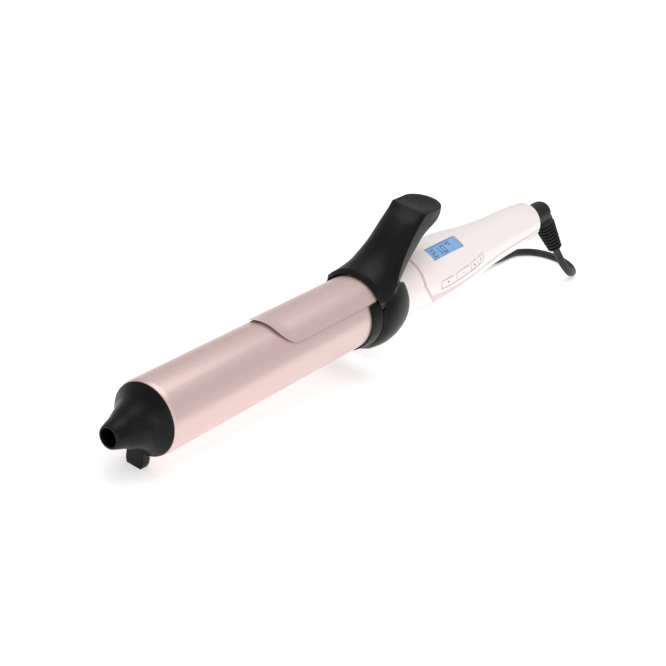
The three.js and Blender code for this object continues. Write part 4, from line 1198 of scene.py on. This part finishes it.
def digit(figure, x, y, wide, tall, low, high):
    """A seven-segment figure with its lower left corner at x, y."""
    t, g = 0.62, 0.1
    half = tall / 2
    places = {
        "a": (x + g, y + tall - t, x + wide - g, y + tall), "d": (x + g, y, x + wide - g, y + t),
        "g": (x + g, y + half - t / 2, x + wide - g, y + half + t / 2),
        "f": (x, y + half + g, x + t, y + tall - g), "e": (x, y + g, x + t, y + half - g),
        "b": (x + wide - t, y + half + g, x + wide, y + tall - g),
        "c": (x + wide - t, y + g, x + wide, y + half - g),
    }
    return [bar(*places[name], low, high) for name in SEGMENTS[figure]]


def build_display():
    glass = softened(lens_block(0, 0, -LENS["thickness"], 0.4), 0.15, 2)
    finished(glass, "display_window", "lens", "housing", ["display_lens"])
    module = lens_block(1.6, -3.5, -5.9, 1.0)
    join(module, lens_block(-0.05, -1.5, -4.5, 0.4))
    finished(module, "display_module", "lcd", "housing", ["lcd_module"])
    low, high = -1.52, -1.42
    marks = digit("2", -12.2, -2.6, 3.6, 5.4, low, high)
    marks += digit("1", -6.6, -2.6, 3.0, 5.4, low, high)
    marks += digit("0", -1.4, -2.6, 3.6, 5.4, low, high)
    marks += [bar(4.6, 1.9, 6.0, 3.2, low, high), bar(6.6, 1.0, 9.2, 1.7, low, high),
              bar(6.6, 2.4, 9.2, 3.1, low, high), bar(6.6, 1.0, 7.2, 3.1, low, high)]
    ink = on_lens_plane(together("marks", marks))
    finished(ink, "display_figures", "lcd ink", "housing")


def key_skin(inset, thickness):
    return cut(handle_body(inset), handle_body(inset + thickness, HANDLE_START - 2, HANDLE_END + 2))


def key_place(along):
    """A point on a key's face, with the directions along it and across it."""
    lean = math.radians(STRIP["lean"])
    x = STRIP["x"] + along * math.cos(lean)
    z = STRIP["z"] + along * math.sin(lean)
    radius = handle_radius(x) - STRIP["sink"] + KEY_STAND
    out = Vector((0, -math.sqrt(radius ** 2 - z ** 2), z)).normalized()
    run = Vector((math.cos(lean), 0, math.sin(lean)))
    up = run.cross(out).normalized()
    if up.z < 0:
        up = -up
    centre = Vector((x, out.y * radius, out.z * radius))
    return centre, run, up, out


def mark_on_key(along, shapes):
    """Flat outlines on a key, from (x, y) outlines in millimetres."""
    centre, run, up, out = key_place(along)
    made = together("marks", [prism(shape, -0.06, 0.05, "xy") for shape in shapes])
    axes = Matrix((run, up, out)).transposed().to_4x4()
    return moved(made, Matrix.Translation(centre) @ axes)


def ring_pieces(radius, width, first, last, steps=14):
    pieces = []
    for i in range(steps):
        a, b = (math.radians(lerp(first, last, (i + k) / steps)) for k in (0, 1))
        inner = radius - width
        corners = ((radius, a), (radius, b), (inner, b), (inner, a))
        pieces.append([(reach * math.cos(turn), reach * math.sin(turn)) for reach, turn in corners])
    return pieces


def rectangle(x0, y0, x1, y1):
    return [(x0, y0), (x1, y0), (x1, y1), (x0, y1)]


def build_keys():
    strip = keep(key_skin(STRIP["sink"], STRIP["thickness"]), side_prism(STRIP["length"], STRIP["width"], 0))
    cut(strip, *[side_prism(length, KEY_WIDTH, along, GAP) for _, along, length in KEYS])
    finished(strip, "key_strip_moulding", "key plastic", "housing", ["key_strip"])
    line = 0.17
    marks = {
        "plus_key": [rectangle(-0.9, -line, 0.9, line), rectangle(-line, -0.9, line, -line),
                     rectangle(-line, line, line, 0.9)],
        "minus_key": [rectangle(-0.9, -line, 0.9, line)],
        "lock_key": [rectangle(-0.7, -0.9, 0.7, 0.1), *ring_pieces(0.55, 0.22, 0, 180, 8)],
        "power_key": [*ring_pieces(0.9, 0.25, 120, 420), rectangle(-line * 0.8, 0.2, line * 0.8, 1.1)],
    }
    for name, along, length in KEYS:
        cap = keep(key_skin(STRIP["sink"] - KEY_STAND, 1.5), side_prism(length, KEY_WIDTH, along))
        centre, _, _, _ = key_place(along)
        stem_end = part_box(name)[1].y / MM
        stem = moved(rod(centre.y + 1.2, stem_end, 0.8, 32),
                     Matrix.Translation((centre.x, 0, centre.z)) @ Matrix.Rotation(math.pi / 2, 4, "Z"))
        join(cap, stem)
        finished(cap, name + "_cap", "key plastic", name, [name])
        finished(mark_on_key(along, marks[name]), name + "_mark", "key marks", name)


# ---- cord outlet, lead and plug -------------------------------------------------------------------
GUARD = {"reach": (13.2, -12.0, -25.0), "base": 7.2, "tip": 4.9, "rings": 8, "start": 0.3, "groove": 0.9,
         "share": 0.62}
ELBOW = (384.0, 7.7)


def along_guard():
    reach = Vector(GUARD["reach"])
    turn = Vector((1, 0, 0)).rotation_difference(reach).to_matrix().to_4x4()
    return Matrix.Translation((ELBOW[0], 0, 0)) @ turn


def build_guard(rings):
    length = Vector(GUARD["reach"]).length
    start = GUARD["start"] * length
    pitch = (length - start) / rings
    width = pitch * GUARD["share"]
    seed = section_object("ribs", [(0, 0), (1, 0), (0, 1)])
    sizes = {"count": rings, "first": start + width / 2, "pitch": pitch, "width": width, "depth": 2.2,
             "large": GUARD["base"] - 0.1, "small": GUARD["tip"] + 0.1}
    ribs = moved(ribs_tree(FINISHES["guard rubber"](), sizes).applied(seed), along_guard())
    core = turned("core", [(0, 0), (0, GUARD["base"] - 1), (start * 0.7, GUARD["base"] - 0.2),
                           (start + 0.4, GUARD["base"] - GUARD["groove"]),
                           (length - 0.6, GUARD["tip"] - GUARD["groove"]), (length - 0.2, GUARD["tip"] - 1.4),
                           (length - 0.2, 0)], 64)
    moved(core, along_guard())
    hub_line = [(350.2, 0), (350.2, 6.4), (362.1, 6.4), (362.1, 7.2), (362.6, 7.7), (ELBOW[0], 7.7)]
    dome = [(ELBOW[0] + ELBOW[1] * math.sin(math.radians(a)), ELBOW[1] * math.cos(math.radians(a)))
            for a in range(5, 90, 5)]
    hub = turned("hub", hub_line + dome + [(ELBOW[0] + ELBOW[1], 0)], 96)
    join(hub, core, rod(348, 350.4, 9.4, 96))
    cut(hub, rod(347, 357, 3.4, 48))
    body = together("guard", [hub, ribs])
    finished(body, "cord_guard_moulding", "guard rubber", "cord_outlet", ["cord_guard"],
             angle=40)


CORD_RADIUS = 2.5
CORD_ROUTE = [(220.4, -19.5, 9.2), (227.3, -20.2, 5.3), (234.9, -18.7, 3.3), (238.6, -17, 2.6),
              (244.3, -12.4, 2.5), (248.3, -5.5, 2.5), (249.3, 2.4, 2.5), (247.2, 10.1, 2.5),
              (242.4, 16.4, 2.5), (235.5, 20.7, 2.5), (229, 23.2, 2.5), (222, 24, 2.5), (206, 24, 2.8),
              (190, 24, 3.6)]
TAIL_ROUTE = [(61.2, 25, 13.6), (54, 25.9, 12.9), (46, 28.4, 10.9), (38, 31.6, 8.6), (31, 34.2, 7.2),
              (24.4, 35, 6.85)]
HANK = {"x": 124.0, "y": 44.0, "half": 47.0, "floor": 3.7, "lane": 5.0}
PLUG = {"front": -12.0, "rear": 24.0, "y": 35.0, "front_half": 17.65, "rear_half": 6.0, "height": 13.7}


def lane_y(end_y, waist_y, x):
    """A run's distance from the hank's middle: wide at the ends, drawn in under the tie."""
    drawn = (1 + math.cos(math.pi * abs(x - HANK["x"]) / HANK["half"])) / 2
    return HANK["y"] + lerp(end_y, waist_y, drawn)


def hank_run(end_y, waist_y, height, towards):
    steps = 40
    line = []
    for i in range(steps + 1):
        x = HANK["x"] + towards * lerp(-HANK["half"], HANK["half"], i / steps)
        line.append((x, lane_y(end_y, waist_y, x), height))
    return line


def hank_turn(side, from_y, to_y, low, high):
    """A half turn at one end, which climbs early where it changes layer."""
    centre_x = HANK["x"] + side * HANK["half"]
    middle, radius = (from_y + to_y) / 2, abs(from_y - to_y) / 2
    way = 1 if from_y > to_y else -1
    line = []
    steps = 24
    for i in range(1, steps):
        angle = math.pi * i / steps
        rise = clamp(i / steps / 0.6, 0, 1)
        height = lerp(low, high, (1 - math.cos(math.pi * rise)) / 2)
        line.append((centre_x + side * radius * math.sin(angle),
                     HANK["y"] + middle + way * radius * math.cos(angle), height))
    return line


def hank_line():
    lane = HANK["lane"]
    outer, inner = (20.0, 1.5 * lane), (15.0, 0.5 * lane)
    low = HANK["floor"]
    mid, high = low + lane, low + lane * 2
    turns = [
        (-outer[0], -outer[1], -outer[0], outer[0], outer[1], outer[0], -inner[0], low, low),
        (-inner[0], -inner[1], -inner[0], inner[0], inner[1], inner[0], -inner[0], low, mid),
        (-inner[0], -inner[1], -inner[0], inner[0], inner[1], inner[0], -outer[0], mid, mid),
        (-outer[0], -outer[1], -outer[0], outer[0], outer[1], outer[0], -inner[0], mid, high),
        (-inner[0], -inner[1], -inner[0], inner[0], inner[1], inner[0], -outer[0], high, high),
    ]
    line = []
    for near, near_waist, left_from, left_to, far_waist, right_from, right_to, floor, ceiling in turns:
        line += hank_run(near, near_waist, floor, -1)
        line += hank_turn(-1, left_from, left_to, floor, floor)
        line += hank_run(left_to, far_waist, floor, 1)
        line += hank_turn(1, right_from, right_to, floor, ceiling)
    line += hank_run(-outer[0], -outer[1], high, -1)
    return line


def evenly(points, spacing):
    """The same line with its points at one spacing."""
    line = [Vector(p) for p in points]
    made = [line[0]]
    left = spacing
    for a, b in zip(line, line[1:]):
        span = (b - a).length
        while span >= left and span > 0:
            a = a.lerp(b, left / span)
            made.append(a.copy())
            span = (b - a).length
            left = spacing
        left -= span
    made.append(line[-1])
    return made


def cord_line():
    guard = along_guard()
    length = Vector(GUARD["reach"]).length
    to_mm = Matrix.Scale(1 / MM, 4) @ IRON @ guard
    leaving = [to_mm @ Vector((length + run, 0, 0)) for run in (0.3, 4, 8, 12)]
    first = spline([*leaving, *CORD_ROUTE, (181, 24, 3.7), (171.2, 24, 3.7)], 150)
    coil = hank_line()
    last = spline([(76.8, 24, 13.7), (69, 24.2, 13.75), *TAIL_ROUTE], 60)
    return evenly([tuple(p) for p in first] + coil + [tuple(p) for p in last], 1.6)


def strap_loop(half_y, half_z, corner):
    return rounded([(-half_y, -half_z), (half_y, -half_z), (half_y, half_z), (-half_y, half_z)], corner, 6)


def build_tie():
    outer = prism(strap_loop(11.2, 8.5, 3.4), HANK["x"] - 3, HANK["x"] + 3, "yz")
    cut(outer, prism(strap_loop(10.4, 7.7, 2.8), HANK["x"] - 4, HANK["x"] + 4, "yz"))
    buckle = softened(prism(rounded([(-3.4, 7.9), (3.4, 7.9), (3.0, 9.3), (-3.0, 9.3)], 0.5, 3),
                            HANK["x"] - 3.8, HANK["x"] + 3.8, "yz"), 0.3, 2)
    join(outer, buckle)
    moved(outer, Matrix.Translation((0, HANK["y"], 8.7)))
    return finished(outer, "hank_tie", "tie plastic", "housing", ["cable_tie"], WORLD_MM)


def build_plug():
    wide, narrow = PLUG["front_half"], PLUG["rear_half"]
    near = [(PLUG["rear"], narrow), (PLUG["rear"] - 9, narrow + 0.8), (2, wide - 1), (-4, wide),
            (PLUG["front"] + 2, wide), (PLUG["front"], wide - 2)]
    outline = rounded(near + [(x, -y) for x, y in near[::-1]], 2.2, 4)
    body = softened(prism(outline, 0, PLUG["height"], "xy"), 2.6, 5)
    for i in range(5):
        x = 8 + i * 3
        for side in (1, -1):
            edge = lerp(wide - 2, narrow, (x - 2) / 22)
            groove = moved(rod(-12, 12, 0.55, 16), Matrix.Translation((x, side * (edge + 0.9), 6.85))
                           @ Matrix.Rotation(math.pi / 2, 4, "Y"))
            cut(body, groove)
    moved(body, Matrix.Translation((0, PLUG["y"], 0)))
    made = [finished(body, "plug_moulding", "cord rubber", "housing", ["plug_body"], WORLD_MM)]
    for side, name in ((1, "plug_pin_left"), (-1, "plug_pin_right")):
        tip = PLUG["front"] - 19.3
        nose = [(tip + 2 - 2 * math.cos(math.radians(a)), 2 * math.sin(math.radians(a)))
                for a in range(0, 91, 10)]
        pin = turned("pin", [*nose, (PLUG["front"] - 0.3, 2), (PLUG["front"] - 0.3, 0)], 40)
        moved(pin, Matrix.Translation((0, PLUG["y"] + side * 9.3, 6.85)))
        made.append(finished(pin, name + "_turned", "brass", "housing", [name], WORLD_MM))
    return made


def build_cord():
    line = cord_line()
    cord = tube("cord", line, CORD_RADIUS, 20)
    finished(cord, "mains_cord", "cord rubber", "housing",
             ["cord", "cord_hank", "cord_tail"], WORLD_MM, angle=60)
    tie = build_tie()
    plug = build_plug()


# ---- what is carried over from the frame ----------------------------------------------------------
INSIDES = {
    "aluminium": ["heater_plate_upper", "heater_plate_lower"],
    "ceramic": ["ceramic_heater", "heat_bush", "contact_block"],
    "steel": ["thermal_fuse", "hinge_bracket", "hinge_pin"],
    "lens": ["temperature_sensor"],
    "wire sleeve": ["heater_lead", "fuse_link", "fuse_lead", "sensor_lead", "supply_lead_left",
                    "supply_lead_right"],
    "board": ["circuit_board", "switch_board"],
    "black plastic": ["plus_switch", "minus_switch", "lock_switch", "power_switch", "swivel_socket"],
    "brass": ["contact_pin", "contact_sleeve"],
}


def paint_insides():
    for name, members in INSIDES.items():
        for member in members:
            mesh = NODES[member].data
            mesh.materials.clear()
            mesh.materials.append(FINISHES[name]())


# ---- stage ----------------------------------------------------------------------------------------
def add_light(name, place, target, size, power, colour=(1, 1, 1)):
    light = bpy.data.lights.new(name, "AREA")
    light.shape = "RECTANGLE"
    light.size, light.size_y = size
    light.energy = power
    light.color = colour
    obj = bpy.data.objects.new(name, light)
    bpy.context.scene.collection.objects.link(obj)
    obj.location = place
    obj.rotation_euler = (Vector(target) - Vector(place)).to_track_quat("-Z", "Y").to_euler()


def build_stage(settings):
    scene = bpy.context.scene
    floor = linked("floor", bpy.data.meshes.new("floor"))
    half = 30.0
    floor.data.from_pydata([(-half, -half, 0), (half, -half, 0), (half, half, 0), (-half, half, 0)], [],
                           [(0, 1, 2, 3)])
    floor.data.materials.append(FINISHES["floor"]())
    world = bpy.data.worlds.new("studio")
    world.use_nodes = True
    world.node_tree.nodes["Background"].inputs["Color"].default_value = (1, 1, 1, 1)
    world.node_tree.nodes["Background"].inputs["Strength"].default_value = settings.surround
    scene.world = world
    scene.view_settings.view_transform = "Standard"
    add_light("overhead", (0.1, 0.1, 1.3), (0, 0, 0), (1.1, 1.1), settings.overhead)
    add_light("front", (-0.9, -1.1, 0.5), (0, 0, 0.03), (0.6, 0.9), settings.front)
    camera = bpy.data.objects.new("camera", bpy.data.cameras.new("camera"))
    scene.collection.objects.link(camera)
    heading, pitch = math.radians(30.02), math.radians(-25.09)
    level = math.cos(pitch)
    ahead = Vector((math.cos(heading) * level, math.sin(heading) * level, math.sin(pitch)))
    facing = ahead.to_track_quat("-Z", "Y").to_matrix() @ Matrix.Rotation(math.radians(12.3), 3, "Z")
    camera.rotation_euler = facing.to_euler()
    camera.location = (-0.6291, -0.3414, 0.3447)
    camera.data.lens = 75.68
    camera.data.sensor_width = 36
    camera.data.clip_start = 0.05
    scene.camera = camera


# ---- settings, operators and panel ----------------------------------------------------------------
def colour_setting(name, description, default):
    return bpy.props.FloatVectorProperty(name=name, description=description, default=default, size=3,
                                         subtype="COLOR_GAMMA", min=0, max=1)


class IronFinish(bpy.types.PropertyGroup):
    barrel: colour_setting("Barrel", "Colour of the barrel's and the clip's coating", (0.868, 0.758, 0.744))
    lever: colour_setting("Lever", "Colour of the lever, the collar and the tip", (0.022, 0.02, 0.024))
    cover: colour_setting("Cover", "Colour of the handle's upper cover", (1.0, 0.95, 0.947))
    # This colour is painted shade, laid along the cover's edges in place of their shaded bevel.
    cover_edge_shade: colour_setting("Cover edge", "Colour of the cover's edge band", (0.89, 0.77, 0.765))
    shell: colour_setting("Shells", "Colour of the handle's shells", (0.985, 0.945, 0.94))
    keys: colour_setting("Keys", "Colour of the keys and their strip", (0.99, 0.95, 0.948))
    display: colour_setting("Display", "Colour of the lit display", (0.5, 0.73, 0.94))
    cord: colour_setting("Cord", "Colour of the mains lead and plug", (0.07, 0.066, 0.07))


class IronSizes(bpy.types.PropertyGroup):
    barrel_radius: bpy.props.FloatProperty(
        name="Barrel radius", description="Radius of the barrel, in millimetres",
        default=19.0, min=10.0, max=25.0)
    guard_rings: bpy.props.IntProperty(
        name="Guard rings", description="Rings round the cord guard",
        default=8, min=3, max=14)
    cord_length: bpy.props.FloatProperty(
        name="Cord length", description="Length of the mains lead",
        default=1.8, min=0.5, max=3.0, unit="LENGTH")


class IronStage(bpy.types.PropertyGroup):
    surround: bpy.props.FloatProperty(name="Surround", description="Strength of the light from all round",
                                      default=0.56, min=0.0, max=4.0)
    overhead: bpy.props.FloatProperty(name="Overhead", description="Power of the overhead light", default=7.0,
                                      min=0.0, max=200.0, unit="POWER")
    front: bpy.props.FloatProperty(name="Front", description="Power of the front light", default=3.6, min=0.0,
                                   max=200.0, unit="POWER")


class IRON_OT_barrel(bpy.types.Operator):
    """Makes the barrel"""
    bl_idname = "iron.barrel"
    bl_label = "Barrel"

    def execute(self, context):
        build_barrel(context.scene.iron_sizes.barrel_radius)
        return {"FINISHED"}


class IRON_OT_tip(bpy.types.Operator):
    """Makes the tip and its foot"""
    bl_idname = "iron.tip"
    bl_label = "Tip"

    def execute(self, context):
        build_tip()
        return {"FINISHED"}


class IRON_OT_collar(bpy.types.Operator):
    """Makes the collar and its ring"""
    bl_idname = "iron.collar"
    bl_label = "Collar"

    def execute(self, context):
        build_collar()
        return {"FINISHED"}


class IRON_OT_clip(bpy.types.Operator):
    """Makes the clip and its rivets"""
    bl_idname = "iron.clip"
    bl_label = "Clip"

    def execute(self, context):
        build_clip()
        return {"FINISHED"}


class IRON_OT_lever(bpy.types.Operator):
    """Makes the thumb lever and its spring"""
    bl_idname = "iron.lever"
    bl_label = "Lever"

    def execute(self, context):
        build_lever()
        build_spring()
        return {"FINISHED"}


class IRON_OT_handle(bpy.types.Operator):
    """Makes the handle's cover, its two shells and their screws"""
    bl_idname = "iron.handle"
    bl_label = "Handle"

    def execute(self, context):
        build_cover()
        build_upper_shell()
        build_lower_shell()
        build_screws()
        return {"FINISHED"}


class IRON_OT_display(bpy.types.Operator):
    """Makes the display's window, module and figures"""
    bl_idname = "iron.display"
    bl_label = "Display"

    def execute(self, context):
        build_display()
        return {"FINISHED"}


class IRON_OT_keys(bpy.types.Operator):
    """Makes the key strip, the keys and their marks"""
    bl_idname = "iron.keys"
    bl_label = "Keys"

    def execute(self, context):
        build_keys()
        return {"FINISHED"}


class IRON_OT_guard(bpy.types.Operator):
    """Makes the swivelling cord guard"""
    bl_idname = "iron.guard"
    bl_label = "Cord guard"

    def execute(self, context):
        build_guard(context.scene.iron_sizes.guard_rings)
        return {"FINISHED"}


class IRON_OT_cord(bpy.types.Operator):
    """Makes the mains lead, its tie and its plug"""
    bl_idname = "iron.cord"
    bl_label = "Mains lead"

    def execute(self, context):
        build_cord()
        return {"FINISHED"}


class IRON_OT_insides(bpy.types.Operator):
    """Gives the parts inside their finishes"""
    bl_idname = "iron.insides"
    bl_label = "Insides"

    def execute(self, context):
        paint_insides()
        return {"FINISHED"}


class IRON_OT_stage(bpy.types.Operator):
    """Makes the floor, the lights and the camera"""
    bl_idname = "iron.stage"
    bl_label = "Stage"

    def execute(self, context):
        build_stage(context.scene.iron_stage)
        return {"FINISHED"}


STEPS = (IRON_OT_barrel, IRON_OT_tip, IRON_OT_collar, IRON_OT_clip, IRON_OT_lever, IRON_OT_handle,
         IRON_OT_display, IRON_OT_keys, IRON_OT_guard, IRON_OT_cord, IRON_OT_insides, IRON_OT_stage)


class IRON_PT_panel(bpy.types.Panel):
    """Lists the steps that make the curling iron"""
    bl_label = "Curling iron"
    bl_idname = "IRON_PT_panel"
    bl_space_type = "VIEW_3D"
    bl_region_type = "UI"
    bl_category = "Curling iron"

    def draw(self, context):
        for group in (context.scene.iron_sizes, context.scene.iron_finish, context.scene.iron_stage):
            for name in group.__annotations__:
                self.layout.prop(group, name)
        for step in STEPS:
            self.layout.operator(step.bl_idname)


CLASSES = (IronFinish, IronSizes, IronStage, *STEPS, IRON_PT_panel)


def register():
    for item in CLASSES:
        bpy.utils.register_class(item)
    bpy.types.Scene.iron_finish = bpy.props.PointerProperty(type=IronFinish)
    bpy.types.Scene.iron_sizes = bpy.props.PointerProperty(type=IronSizes)
    bpy.types.Scene.iron_stage = bpy.props.PointerProperty(type=IronStage)


def unregister():
    for name in ("iron_stage", "iron_sizes", "iron_finish"):
        delattr(bpy.types.Scene, name)
    for item in reversed(CLASSES):
        bpy.utils.unregister_class(item)


def main():
    register()
    for step in STEPS:
        group, name = step.bl_idname.split(".")
        getattr(getattr(bpy.ops, group), name)()


if __name__ == "__main__":
    main()
